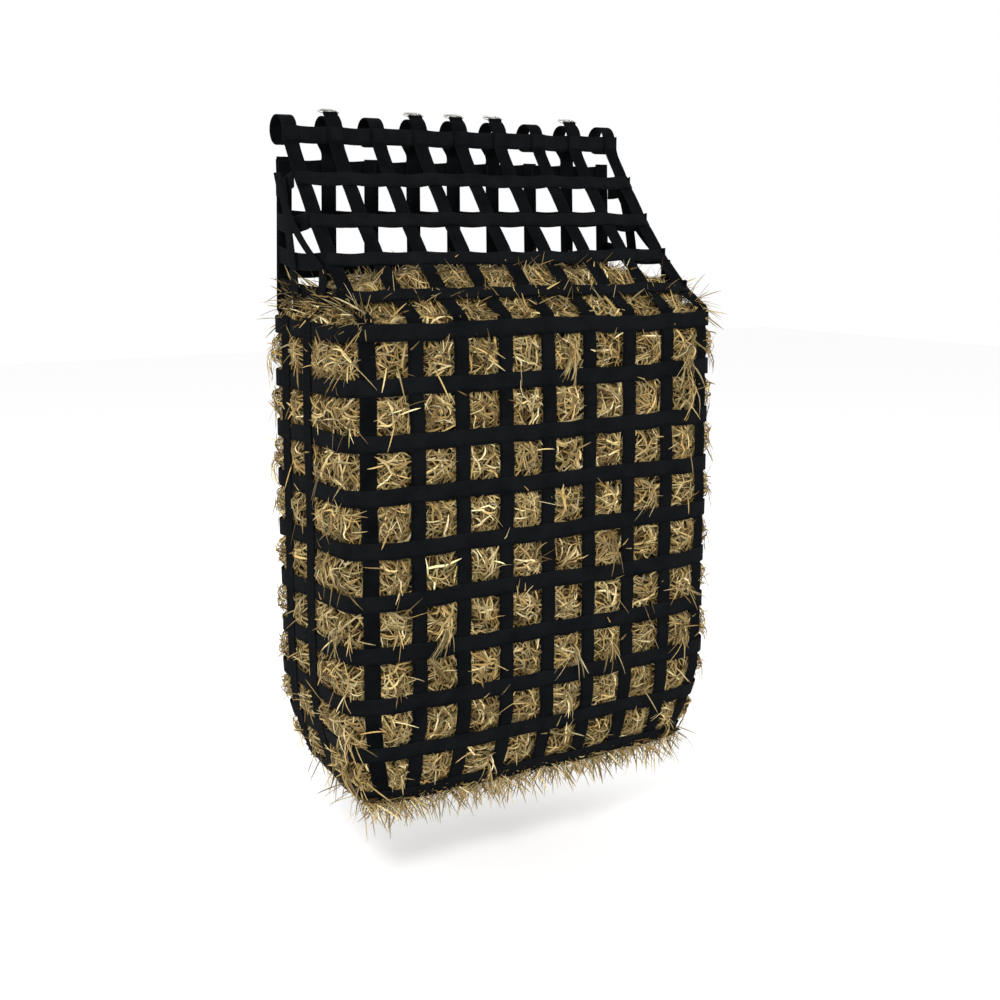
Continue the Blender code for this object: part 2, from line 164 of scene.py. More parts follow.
def puff(s, z):
    """How far the stuffed bag swells past its flat outline."""
    s = np.mod(s, ROUND)
    across = np.minimum(s, ROUND - s)
    front = 1.0 - np.clip(across / (4 * PITCH), 0.0, 1.0) ** 4
    side_at = np.clip((across - 4 * PITCH) / (ROUND / 2 - 8 * PITCH), 0.0, 1.0)
    side = np.sin(math.pi * side_at) ** 0.6 * (side_at > 0.0) * (side_at < 1.0)
    down = smooth_step((HINGE_Z - z) / 150.0) * (0.5 + 0.5 * smooth_step((z - FOOT_Z) / 160.0))
    lumps = np.sin(s / 61.0 + 1.3) * np.sin(z / 83.0 + 0.4) + np.sin(s / 37.0) * np.cos(z / 47.0)
    return down * (PUFF_FRONT * front + PUFF_SIDE * side + 0.9 * lumps)


def lift(z, y):
    rise = LIFT * np.clip((LIFT_Z - z) / (LIFT_Z - FOOT_Z), 0.0, 1.0) ** 1.5
    return rise * (y - (YC - B)) / DEPTH


def wall(s, z, d):
    """Points on the box's wall: s round from the front middle, z up, d inwards."""
    s, z, d = np.broadcast_arrays(np.asarray(s, float), z, d)
    x, y = outline(np.interp(np.mod(s, ROUND), LENGTHS, ANGLES))
    nx = np.sign(x) * np.abs(x / A) ** (SQUARENESS - 1) / A
    ny = np.sign(y) * np.abs(y / B) ** (SQUARENESS - 1) / B
    size = np.hypot(nx, ny)
    draw = INSET * (np.maximum(0.0, CURVE_Z - z) / (CURVE_Z - FOOT_Z)) ** 2
    ramp_x = np.clip((np.abs(x) - CROSS_X) / (4 * PITCH - H - CROSS_X), 0.0, 1.0)
    ramp_y = np.clip((np.abs(y) - CROSS_Y) / (B - 8.0 - CROSS_Y), 0.0, 1.0)
    inward = d - puff(s, z)
    px = x - inward * nx / size - np.sign(x) * draw * ramp_x
    py = YC + y - inward * ny / size - np.sign(y) * draw * ramp_y
    return np.stack([px, py, z + lift(z, py)], axis=-1)


def bottom(x, y):
    """Height of the bottom net's lower face."""
    u = np.clip((y - YC) / FOOT_B, -1.0, 1.0)
    over = np.clip((np.abs(x) - CROSS_X) / (FOOT_A - CROSS_X), 0.0, 1.0)
    return FOOT_Z + lift(np.full(np.shape(y), FOOT_Z), y) - BELLY * (1 - u * u) * (1 - over * over)


def flap_curve(p0, p3, q):
    q = q[..., None]
    p1 = p0 + np.stack([0.33 * (p3 - p0)[..., 0],
                        np.full(p0.shape[:-1], 92.0), np.full(p0.shape[:-1], 42.0)], axis=-1)
    p2 = p3 + np.stack([0.33 * (p0 - p3)[..., 0],
                        np.full(p0.shape[:-1], -75.0), np.full(p0.shape[:-1], -105.0)], axis=-1)
    r = 1.0 - q
    point = r ** 3 * p0 + 3 * r * r * q * p1 + 3 * r * q * q * p2 + q ** 3 * p3
    slope = 3 * r * r * (p1 - p0) + 6 * r * q * (p2 - p1) + 3 * q * q * (p3 - p2)
    return point, slope


def flap_ends(s):
    start = wall(s, HINGE_Z, 0.0)
    start[..., 2] = HINGE_Z + 4.5
    low = np.array([(i - 4) * PITCH + e for i in range(9) for e in (-H, H)])
    top = np.array([(i - 4) * TOP_PITCH + e for i in range(9) for e in (-H, H)])
    end = np.empty(start.shape)
    end[..., 0] = np.interp(s, low, top)
    end[..., 1] = FLAP_TOP[0]
    end[..., 2] = FLAP_TOP[1]
    return start, end


FLAP_Q = np.linspace(0.0, 1.0, 401)
MIDDLE = flap_ends(np.zeros(401))
FLAP_LINE = flap_curve(*MIDDLE, FLAP_Q)[0]
FLAP_RUN = np.concatenate([[0.0], np.cumsum(np.linalg.norm(np.diff(FLAP_LINE, axis=0), axis=1))])
FLAP_LENGTH = FLAP_RUN[-1]
FLAP_STEP = (FLAP_LENGTH + (HINGE_Z - BEND_ROW_Z) + H) / 5.0


def flap_row(row):
    return FLAP_STEP * (5 - row) - (HINGE_Z - BEND_ROW_Z)


def flap(s, length, d):
    """Points on the mouth flap: s across, length up from the fold, d inwards."""
    s, length, d = np.broadcast_arrays(np.asarray(s, float), length, d)
    point, slope = flap_curve(*flap_ends(s), np.interp(length, FLAP_RUN, FLAP_Q))
    size = np.hypot(slope[..., 1], slope[..., 2])
    beyond = np.maximum(length - FLAP_LENGTH, 0.0)
    y = point[..., 1] + (d * slope[..., 2] + beyond * slope[..., 1]) / size
    z = point[..., 2] + (beyond * slope[..., 2] - d * slope[..., 1]) / size
    return np.stack([point[..., 0], y, z], axis=-1)


# ---------------------------------------------------------------- meshes

def mesh_object(name, points, quads, mat, uvs=None, colours=None, tris=None):
    """A smooth mesh from arrays; uvs holds named (faces, 4, 2) arrays."""
    quads = np.asarray(quads, np.int32).reshape(-1, 4)
    tris = np.zeros((0, 3), np.int32) if tris is None else np.asarray(tris, np.int32)
    mesh = bpy.data.meshes.new(name)
    mesh.vertices.add(len(points))
    mesh.vertices.foreach_set("co", (np.asarray(points, float) * MM).ravel().astype(np.float32))
    mesh.loops.add(quads.size + tris.size)
    mesh.loops.foreach_set("vertex_index", np.concatenate([quads.ravel(), tris.ravel()]))
    mesh.polygons.add(len(quads) + len(tris))
    starts = np.concatenate([
        np.arange(len(quads)) * 4,
        quads.size + np.arange(len(tris)) * 3,
    ])
    mesh.polygons.foreach_set("loop_start", starts.astype(np.int32))
    mesh.polygons.foreach_set("use_smooth", np.ones(len(quads) + len(tris), bool))
    for uv_name, values in (uvs or {}).items():
        layer = mesh.uv_layers.new(name=uv_name)
        flat = np.zeros((quads.size + tris.size, 2), np.float32)
        flat[:quads.size] = values.reshape(-1, 2)
        layer.uv.foreach_set("vector", flat.ravel())
    if colours is not None:
        layer = mesh.color_attributes.new("tone_and_shade", "FLOAT_COLOR", "POINT")
        rgba = np.ones((len(points), 4), np.float32)
        rgba[:, :3] = colours
        layer.data.foreach_set("color", rgba.ravel())
    mesh.update(calc_edges=True)
    mesh.validate()
    mesh.materials.append(mat)
    obj = bpy.data.objects.new(name, mesh)
    bpy.context.scene.collection.objects.link(obj)
    return obj


# Outline of the webbing's cut face: across, and out from its middle.
CUT = np.array([
    (-12.7, 0.0), (-12.3, 0.5), (-11.4, 0.8), (-7.5, 0.74), (0.0, 0.7), (7.5, 0.74),
    (11.4, 0.8), (12.3, 0.5), (12.7, 0.0), (12.3, -0.5), (11.4, -0.8), (0.0, -0.7),
    (-11.4, -0.8), (-12.3, -0.5),
])


def webbing(name, rings, along, near, mat, closed=False):
    """A length of webbing from its rings of points; near is the distance to the closest stitching."""
    n, m = rings.shape[:2]
    mid = n // 2
    across = rings[mid, 5] - rings[mid, 3]
    outward = rings[mid, 4] - rings[mid, 11]
    if np.dot(np.cross(across, rings[mid, 4] - rings[mid - 1, 4]), outward) < 0:
        rings = rings[:, ::-1]
    j = np.arange(n if closed else n - 1)[:, None]
    i = np.arange(m)[None, :]
    j2, i2 = (j + 1) % n, (i + 1) % m
    quads = np.stack([j * m + i, j * m + i2, j2 * m + i2, j2 * m + i], axis=-1).reshape(-1, 4)
    run = np.concatenate([along, [2 * along[-1] - along[-2]]])
    close = np.concatenate([near, near[:1]])
    u = np.broadcast_to(CUT[:, 0], (n + 1, m))
    uvs = {}
    for uv_name, v in (("weave", run), ("seam", close)):
        v = np.broadcast_to(v[:, None], (n + 1, m))
        corners = [(j, i), (j, i2), (j + 1, i2), (j + 1, i)]
        uvs[uv_name] = np.stack([np.stack([
            u[c[0], c[1]], v[c[0], c[1]]], axis=-1) for c in corners], axis=2).reshape(-1, 4, 2)
    tris = None
    if not closed:
        fan = [(0, c + 1, c) for c in range(1, m - 1)]
        last = (n - 1) * m
        fan += [(last, last + c, last + c + 1) for c in range(1, m - 1)]
        tris = np.array(fan)
    return mesh_object(name, rings.reshape(-1, 3), quads, mat, uvs=uvs, tris=tris)


def nearest(position, knots):
    """Signed distance to the closest knot."""
    gaps = position[:, None] - np.asarray(knots)[None, :]
    return gaps[np.arange(len(position)), np.abs(gaps).argmin(axis=1)]


def closeness(distance):
    """1 at a crossing, falling to 0 clear of the other strap."""
    return 1.0 - smooth_step((np.abs(distance) - H + 3.0) / 13.0)


def softened(path, closed=False, rounds=10):
    """A path with its corners eased."""
    for _ in range(rounds):
        if closed:
            path = 0.25 * np.roll(path, 1, 0) + 0.5 * path + 0.25 * np.roll(path, -1, 0)
        else:
            inner = 0.25 * path[:-2] + 0.5 * path[1:-1] + 0.25 * path[2:]
            path = np.concatenate([path[:1], inner, path[-1:]])
    return path


def evenly(points, step, closed=False):
    """The same path in even steps, with the distance along it."""
    points = np.asarray(points, float)
    if closed:
        points = np.concatenate([points, points[:1]])
    steps = np.linalg.norm(np.diff(points[:, :3], axis=0), axis=1)
    run = np.concatenate([[0.0], np.cumsum(steps)])
    count = max(2, int(round(run[-1] / step)))
    at = np.linspace(0.0, run[-1], count + 1)
    if closed:
        at = at[:-1]
    even = np.stack([np.interp(at, run, points[:, c]) for c in range(points.shape[1])], axis=1)
    return even, at


def flat_strip(name, path, across, outward, mat, knots=(), closed=False, step=4.0):
    """Webbing along a path with one fixed direction across it. A fourth column of the
    path is the coordinate that the stitching's knots are given in."""
    even, along = evenly(path, step, closed)
    even = softened(even, closed, 3)
    line = even[:, :3]
    tangent = np.roll(line, -1, 0) - np.roll(line, 1, 0) if closed else np.gradient(line, axis=0)
    across = np.asarray(across, float)
    normal = np.cross(tangent, across)
    normal /= np.linalg.norm(normal, axis=1)[:, None]
    if normal[len(normal) // 8] @ np.asarray(outward, float) < 0:
        normal = -normal
    rings = (line[:, None, :] + CUT[None, :, :1] * across
             + CUT[None, :, 1:] * normal[:, None, :])
    gaps = nearest(even[:, 3], knots) if len(knots) else np.full(len(along), 60.0)
    return webbing(name, rings, along, gaps, mat, closed)


# ---------------------------------------------------------------- materials

class Nodes:
    """Short ways to write a material's node tree."""

    def __init__(self, name, **fixed):
        self.mat = bpy.data.materials.new(name)
        self.mat.use_nodes = True
        self.tree = self.mat.node_tree
        self.shader = self.tree.nodes["Principled BSDF"]
        for socket, value in fixed.items():
            self.shader.inputs[socket.replace("_", " ")].default_value = value

    def put(self, socket, value):
        if isinstance(value, (int, float, tuple)):
            socket.default_value = value
        else:
            self.tree.links.new(value, socket)

    def math(self, operation, one, two=0.0, three=0.0):
        node = self.tree.nodes.new("ShaderNodeMath")
        node.operation = operation
        for socket, value in zip(node.inputs, (one, two, three)):
            self.put(socket, value)
        return node.outputs[0]

    def uv(self, name):
        node = self.tree.nodes.new("ShaderNodeUVMap")
        node.uv_map = name
        parts = self.tree.nodes.new("ShaderNodeSeparateXYZ")
        self.tree.links.new(node.outputs[0], parts.inputs[0])
        return parts.outputs[0], parts.outputs[1]

    def place(self):
        return self.tree.nodes.new("ShaderNodeTexCoord").outputs["Object"]

    def noise(self, vector, scale, detail=3.0, stretch=None):
        if stretch:
            mapping = self.tree.nodes.new("ShaderNodeMapping")
            self.tree.links.new(vector, mapping.inputs[0])
            mapping.inputs["Scale"].default_value = stretch
            vector = mapping.outputs[0]
        node = self.tree.nodes.new("ShaderNodeTexNoise")
        node.inputs["Scale"].default_value = scale
        node.inputs["Detail"].default_value = detail
        self.tree.links.new(vector, node.inputs["Vector"])
        return node.outputs[0]

    def ramp(self, value, *stops):
        node = self.tree.nodes.new("ShaderNodeValToRGB")
        ramp = node.color_ramp
        while len(ramp.elements) < len(stops):
            ramp.elements.new(0.5)
        for element, (at, colour) in zip(ramp.elements, stops):
            element.position = at
            element.color = (*colour, 1.0)
        self.tree.links.new(value, node.inputs[0])
        return node.outputs[0]

    def blend(self, share, one, two, how="MIX"):
        node = self.tree.nodes.new("ShaderNodeMix")
        node.data_type = "RGBA"
        node.blend_type = how
        self.put(node.inputs[0], share)
        self.put(node.inputs[6], one)
        self.put(node.inputs[7], two)
        return node.outputs[2]

    def bump(self, height, strength, distance):
        node = self.tree.nodes.new("ShaderNodeBump")
        node.inputs["Strength"].default_value = strength
        node.inputs["Distance"].default_value = distance
        self.tree.links.new(height, node.inputs["Height"])
        self.tree.links.new(node.outputs[0], self.shader.inputs["Normal"])


# The webbing's face, in millimetres from its middle line or from a crossing's middle.
FIRM_EDGE = 11.0
STITCH_LINE = 9.6
THREAD_HALF = 0.55
STITCH_END = 10.0
CHEVRON = 3.2


def webbing_material(name, dark, light, stitched=True):
    """Flat woven webbing: ribs across it, cloudy tone, a painted highlight along its firm edges, and box
    stitching at each crossing.
    """
    n = Nodes(name, Specular_IOR_Level=0.02)
    across, along = n.uv("weave")
    _, near = n.uv("seam")
    width = n.math("ABSOLUTE", across)
    zigzag = n.math("PINGPONG", across, CHEVRON)
    ribs = n.math("SINE", n.math("MULTIPLY", n.math("ADD", along, n.math("MULTIPLY", zigzag, 0.45)), 3.1))
    yarns = n.math("SINE", n.math("MULTIPLY", across, 5.2))
    weave = n.math("MULTIPLY", n.math("ADD", ribs, n.math("MULTIPLY", yarns, 0.45)), 0.5)
    # Painted highlight: the webbing is coloured lighter along its rounded edges, where light glances off
    # them.
    edge = n.math("GREATER_THAN", width, FIRM_EDGE)
    here = n.place()
    cloudy = n.noise(here, 38.0, 4.0)
    fuzz = n.noise(here, 900.0, 2.0)
    edge_highlight_and_tone = n.math("MULTIPLY_ADD", edge, 0.18, cloudy)
    tone = n.math("ADD", n.math("MULTIPLY", weave, 0.10), n.math("MULTIPLY_ADD", fuzz, 0.25, edge_highlight_and_tone))
    colour = n.ramp(tone, (0.35, dark), (0.95, light))
    height = n.math("ADD", n.math("MULTIPLY", weave, 0.35), n.math("MULTIPLY", fuzz, 0.25))
    if stitched:
        def line(value):
            """1 on a line of stitches."""
            off = n.math("ABSOLUTE", n.math("SUBTRACT", value, STITCH_LINE))
            return n.math("LESS_THAN", off, THREAD_HALF)

        def dashes(value):
            """1 on a stitch, 0 in the gaps between them."""
            return n.math("GREATER_THAN", n.math("SINE", n.math("MULTIPLY", value, 2.1)), -0.45)

        gap = n.math("ABSOLUTE", near)
        side = n.math("MULTIPLY", line(width), n.math("LESS_THAN", gap, STITCH_END))
        end = n.math("MULTIPLY", line(gap), n.math("LESS_THAN", width, STITCH_END))
        down_side = n.math("MULTIPLY", side, dashes(along))
        over_end = n.math("MULTIPLY", end, dashes(across))
        thread = n.math("MINIMUM", n.math("ADD", down_side, over_end), 1.0)
        pull = n.math("ADD", side, end)
        colour = n.blend(n.math("MULTIPLY", thread, 0.55), colour, (0.012, 0.0135, 0.0155, 1.0))
        height = n.math("ADD", height, n.math("MULTIPLY", thread, 0.9))
        height = n.math("SUBTRACT", height, n.math("MULTIPLY", pull, 0.45))
    n.put(n.shader.inputs["Base Color"], colour)
    n.put(n.shader.inputs["Roughness"], n.math("MULTIPLY_ADD", cloudy, 0.25, 0.58))
    n.bump(height, 0.55, 0.0006)
    return n.mat


def steel_material():
    """Bright nickel plate with fine handling marks."""
    n = Nodes("Nickel-plated steel", Metallic=1.0)
    here = n.place()
    cloudy = n.noise(here, 60.0, 3.0)
    marks = n.noise(here, 260.0, 5.0, (1.0, 1.0, 9.0))
    n.put(n.shader.inputs["Base Color"],
          n.ramp(cloudy, (0.30, (0.42, 0.41, 0.39)), (0.75, (0.66, 0.65, 0.62))))
    n.put(n.shader.inputs["Roughness"], n.math("MULTIPLY_ADD", marks, 0.16, 0.10))
    n.bump(marks, 0.08, 0.0003)
    return n.mat


def stalk_material():
    """Dry stalks: each has its own tone, darkened by a painted shade for its depth, with streaks along it
    and darker joints.
    """
    n = Nodes("Hay stalks", Specular_IOR_Level=0.14)
    tone_and_shade = n.tree.nodes.new("ShaderNodeVertexColor")
    tone_and_shade.layer_name = "tone_and_shade"
    here = n.place()
    streaks = n.noise(here, 420.0, 4.0)
    blotch = n.noise(here, 90.0, 3.0)
    grain = n.ramp(streaks, (0.28, (0.52, 0.46, 0.36)), (0.50, (0.96, 0.95, 0.92)),
                   (0.74, (1.22, 1.18, 1.06)))
    colour = n.blend(0.75, tone_and_shade.outputs[0], grain, "MULTIPLY")
    colour = n.blend(n.math("MULTIPLY", n.math("GREATER_THAN", blotch, 0.62), 0.35),
                     colour, (0.30, 0.19, 0.07, 1.0))
    n.put(n.shader.inputs["Base Color"], colour)
    n.put(n.shader.inputs["Roughness"], n.math("MULTIPLY_ADD", streaks, 0.25, 0.42))
    n.bump(streaks, 0.35, 0.0006)
    return n.mat


def core_material():
    """Painted shade: the hay behind the loose stalks, coloured dark for its shadow, with crossing fibres
    and darker gaps.
    """
    n = Nodes("Hay inside, painted shade", Roughness=0.85, Specular_IOR_Level=0.15)
    here = n.place()
    fibres = n.noise(here, 150.0, 4.0, (1.0, 1.0, 6.0))
    crossing = n.noise(here, 150.0, 4.0, (5.0, 5.0, 0.8))
    mixed = n.math("MAXIMUM", fibres, crossing)
    n.put(n.shader.inputs["Base Color"], n.ramp(
        mixed, (0.42, (0.010, 0.006, 0.002)), (0.58, (0.060, 0.038, 0.013)), (0.74, (0.20, 0.14, 0.06))))
    n.bump(mixed, 0.8, 0.003)
    return n.mat


STRAP = webbing_material("Black webbing", (0.0007, 0.0009, 0.0012), (0.0040, 0.0047, 0.0055))
# The bands' copy is lighter than the straps' as a painted sheen: horizontal webbing catches more light than
# vertical webbing.
SHEEN_BAND = webbing_material("Black webbing, bands", (0.0010, 0.0013, 0.0017), (0.0052, 0.0060, 0.0070))
LOOP = webbing_material("Black webbing, loops", (0.0009, 0.0011, 0.0014), (0.0048, 0.0056, 0.0065), False)
STEEL = steel_material()
STALK = stalk_material()
CORE_SHADE = core_material()


def dress(obj, body, slot, *nodes):
    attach(obj, body)
    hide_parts(*nodes)
    return obj


# ---------------------------------------------------------------- the box

def band_over(place):
    return place not in SIDE_PLACES


def strap_depth(place, z):
    """How deep a vertical strap lies: under or over each band, and eased between them."""
    near = closeness(nearest(z, BAND_Z))
    at_cross = UNDER if band_over(place) else OVER
    return at_cross * near + (SLACK - 0.5) * (1.0 - near)


def band_depth(s):
    gaps = np.abs(s[:, None] - ARCS_ROUND[None, :])
    which = gaps.argmin(axis=1)
    near = closeness(gaps[np.arange(len(s)), which])
    over = np.array([OVER if band_over(k % 22) else UNDER for k in which])
    return over * near + (SLACK - 0.2) * (1.0 - near)


def strap_shift(place, z):
    return eased(-z, -BAND_Z, CROSS_SHIFT[place])


def band_drop(row, s):
    drops = np.concatenate([CROSS_DROP[:, row], CROSS_DROP[:1, row]])
    index = window_of(s)
    part = (s - ARCS_ROUND[index]) / (ARCS_ROUND[index + 1] - ARCS_ROUND[index])
    return eased(s, ARCS_ROUND, drops) - WINDOW_SAG[index, row] * np.sin(math.pi * part) ** 2


def wall_rings(z, s, depth):
    """Rings of a vertical strap on the wall."""
    return wall(s[:, None] + CUT[None, :, 0], z[:, None], depth[:, None] - CUT[None, :, 1])


def make_bands():
    for row, z in enumerate(BAND_Z):
        s = np.linspace(0.0, ROUND, 460, endpoint=False) + ROUND / 2
        s = np.mod(s, ROUND)
        drop = band_drop(row, s)
        rings = wall(s[:, None], (z + drop)[:, None] + CUT[None, :, 0],
                     band_depth(s)[:, None] - CUT[None, :, 1])
        near = nearest(s, ARCS_ROUND)
        along = np.arange(len(s)) * ROUND / len(s)
        obj = webbing(f"band_{row + 5:02d}", rings, along, near, SHEEN_BAND, closed=True)
        dress(obj, "net_body", "band_webbing", f"ring_band_{row + 5:02d}")


def make_corner_straps():
    names = {18: "left_front", 4: "right_front", 15: "left_back", 7: "right_back"}
    for place, label in names.items():
        z = np.arange(FOOT_Z + 1.0, BEND_ROW_Z + 10.0, 4.0)
        s = STRAP_ARCS[place] + strap_shift(place, z)
        rings = wall_rings(z, s, strap_depth(place, z))
        if place in (BACK_PLACES[0], BACK_PLACES[8]):
            side = -1.0 if place == BACK_PLACES[0] else 1.0
            up = np.arange(z[-1] + 16.0, BACK_TOP_Z, 4.0)
            middle = side * np.interp(up, (BEND_ROW_Z, BACK_TOP_Z), (4 * PITCH, 4 * TOP_PITCH))
            x, y, high = np.broadcast_arrays(
                middle[:, None] - CUT[None, :, 0], BACK_Y - UNDER - 0.6 + CUT[None, :, 1], up[:, None])
            rings = np.concatenate([rings, np.stack([x, y, high], axis=-1)])
            z = np.concatenate([z, up])
        obj = webbing(f"{label}_corner", rings, z,
                      nearest(z, np.concatenate([BACK_ROWS[::-1], BAND_Z])), STRAP)
        dress(obj, "net_body", "webbing", f"{label}_corner_strap")


def with_knots(points, coordinate):
    return np.concatenate([points, np.broadcast_to(coordinate, len(points))[:, None]], axis=1)


def down_wall(place, top, foot):
    """The middle line of a vertical strap on the wall, with the height its knots go by."""
    z = np.arange(top, foot, -5.0)
    line = wall(STRAP_ARCS[place] + strap_shift(place, z), z, strap_depth(place, z))
    return with_knots(line, z)


def make_long_straps():
    """Down the front, under the bottom and up the back."""
    for i in range(1, 8):
        front = down_wall(FRONT_PLACES[i], BEND_ROW_Z + 2.0, FOOT_Z + 4.0)
        back = down_wall(BACK_PLACES[i], BEND_ROW_Z + H, FOOT_Z + 4.0)[::-1]
        y = np.linspace(YC - FOOT_B + 9.0, YC + FOOT_B - 9.0, 44)
        x = np.linspace(front[-1, 0], back[0, 0], 44)
        under = with_knots(np.stack([x, y, bottom(x, y) + UNDER], axis=-1), NOWHERE)
        z = np.arange(BEND_ROW_Z + H + 14.0, BACK_TOP_Z, 6.0)
        x = np.interp(z, (BEND_ROW_Z, BACK_TOP_Z), (back[-1, 0], TOP_PITCH * (i - 4)))
        y = np.full(len(z), BACK_Y - UNDER - 0.6)
        upper = with_knots(np.stack([x, y, z], axis=-1), z)
        path = np.concatenate([front, under, back, upper])
        obj = flat_strip(f"strap_{i + 1}", path, (1, 0, 0), (0, -1, 0), STRAP,
                         np.concatenate([BAND_Z, BACK_ROWS]))
        dress(obj, "net_body", "webbing", f"long_strap_{i + 1}")


def make_cross_straps():
    """Down one side, under the long straps and up the other side."""
    for name, right, left in (("front", 5, 17), ("back", 6, 16)):
        one = down_wall(left, BEND_ROW_Z + 16.0, FOOT_Z + 4.0)
        two = down_wall(right, BEND_ROW_Z + 16.0, FOOT_Z + 4.0)[::-1]
        x = np.linspace(-FOOT_A + 9.0, FOOT_A - 9.0, 90)
        y = np.linspace(one[-1, 1], two[0, 1], 90)
        under = with_knots(np.stack([x, y, bottom(x, y) + 0.4], axis=-1), NOWHERE)
        obj = flat_strip(f"cross_{name}", np.concatenate([one, under, two]), (0, 1, 0),
                         (-1, 0, 0), STRAP, BAND_Z)
        dress(obj, "net_body", "webbing", f"cross_strap_{name}")


def make_back_bands():
    for n, z in enumerate(BACK_ROWS):
        x = np.linspace(-EDGE_X, EDGE_X, 130)
        near = closeness(nearest(x, np.arange(-4, 5) * TOP_PITCH))
        sag = 2.2 * np.sin(math.pi * (x / TOP_PITCH)) ** 2
        path = np.stack([x, BACK_Y - 0.9 - 0.5 * (1.0 - near), z - sag, x], axis=-1)
        obj = flat_strip(f"back_row_{n + 1}", path, (0, 0, 1), (0, 1, 0), SHEEN_BAND,
                         np.arange(-4, 5) * TOP_PITCH)
        dress(obj, "net_body", "band_webbing", f"back_band_{n + 1}")


def rail_point(radius, degrees):
    """A point round the rail: 0 degrees in front, 90 on top."""
    turn = np.radians(degrees)
    return np.stack([-radius * np.cos(turn), radius * np.sin(turn)], axis=-1)


def in_plane(x, yz):
    yz = np.asarray(yz, float)
    return np.stack([np.broadcast_to(x, len(yz)), yz[:, 0], yz[:, 1]], axis=-1)


# ---------------------------------------------------------------- the mouth flap

def flap_bands_at():
    return np.array([flap_row(row) for row in (4, 3, 2, 1)])


def make_flap_straps():
    """Up the flap from under the bend band, over the top band and, where there is a ring,
    over the rail into the ring's eye."""
    eye = rail_point(EYE_R, RING_PHI)
    for i in range(9):
        place = FRONT_PLACES[i]
        s = (i - 4) * PITCH
        z = np.arange(BEND_ROW_Z - 1.0, HINGE_Z - 1.0, 3.0)
        low = with_knots(wall(s, z, np.full(len(z), strap_depth(place, BAND_Z[:1])[0])), z - HINGE_Z)
        run = np.arange(6.0, FLAP_LENGTH - 2.0, 5.0)
        near = closeness(nearest(run, flap_bands_at()))
        depth = UNDER * near + (SLACK - 0.2) * (1.0 - near)
        up = with_knots(flap(np.full(len(run), s), run, depth), run)
        top = [(-TAB_R, -12.0), (-TAB_R, -4.0), (-TAB_R, 5.0)]
        if i not in LOOP_COLUMNS:
            top += [tuple(rail_point(TAB_R, a)) for a in (20, 30, 40, 50, 60, RING_PHI)]
            turn = math.radians(RING_PHI)
            for step in range(1, 8):
                angle = turn - math.pi + step * math.radians(38.0)
                top.append((eye[0] - 2.8 * math.cos(angle), eye[1] + 2.8 * math.sin(angle)))
        heights = FLAP_LENGTH + 12.0 + 8.0 * np.arange(len(top))
        over = with_knots(in_plane((i - 4) * TOP_PITCH, top), heights)
        knots = np.concatenate([flap_bands_at(), [heights[1]]])
        obj = flat_strip(f"flap_strap_long_{i + 1}", np.concatenate([low, up, over]), (1, 0, 0),
                         (0, -1, 0), STRAP, knots, step=3.0)
        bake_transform(obj)
        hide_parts(f"flap_strap_{i + 1}")


def make_flap_bands():
    edges = 4 * PITCH + H
    arcs = np.arange(-4, 5) * PITCH
    for row in (1, 2, 3, 4):
        s = np.linspace(-edges, edges, 150)
        near = closeness(nearest(s, arcs))
        index = np.clip(np.searchsorted(arcs, s, side="right") - 1, 0, 7)
        part = np.clip((s - arcs[index]) / PITCH, 0.0, 1.0)
        sag = (1.0 + WINDOW_SAG[index, row]) * np.sin(math.pi * part) ** 2
        drift = eased(np.clip(s, arcs[0], arcs[-1] - 0.01), arcs, CROSS_DROP[:9, row])
        depth = OVER * near + (SLACK - 0.2) * (1.0 - near)
        rings = flap(s[:, None], (flap_row(row) + drift - sag)[:, None] + CUT[None, :, 0],
                     depth[:, None] - CUT[None, :, 1])
        obj = webbing(f"flap_row_{row}", rings, s, nearest(s, arcs), SHEEN_BAND)
        dress(obj, "mouth_flap", "band_webbing", f"flap_band_{row}")


def make_top_band():
    """The top edge band, and the square of each strap's end sewn down over it."""
    columns = np.arange(-4, 5) * TOP_PITCH
    x = np.linspace(-EDGE_X, EDGE_X, 170)
    near = closeness(nearest(x, columns))
    index = np.clip(np.searchsorted(columns, x, side="right") - 1, 0, 7)
    part = np.clip((x - columns[index]) / TOP_PITCH, 0.0, 1.0)
    wave = np.sin(math.pi * part) ** 2 * (1.2 + 0.8 * np.sin(index * 2.3))
    path = np.stack([x, -RAIL_R - 3.0 + 0.9 * (1.0 - near), -7.0 - wave, x], axis=-1)
    obj = flat_strip("top_band", path, (0, 0, 1), (0, -1, 0), SHEEN_BAND, columns)
    dress(obj, "mouth_flap", "band_webbing", "top_edge_band")
    for i in range(9):
        z = np.linspace(5.4, -19.6, 12)
        path = np.stack([np.full(12, (i - 4) * TOP_PITCH), np.full(12, -RAIL_R - 6.4), z, z + 7.0], axis=-1)
        obj = flat_strip(f"patch_{i + 1}", path, (1, 0, 0), (0, -1, 0), SHEEN_BAND, (0.0,), step=2.0)
        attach(obj, "mouth_flap")


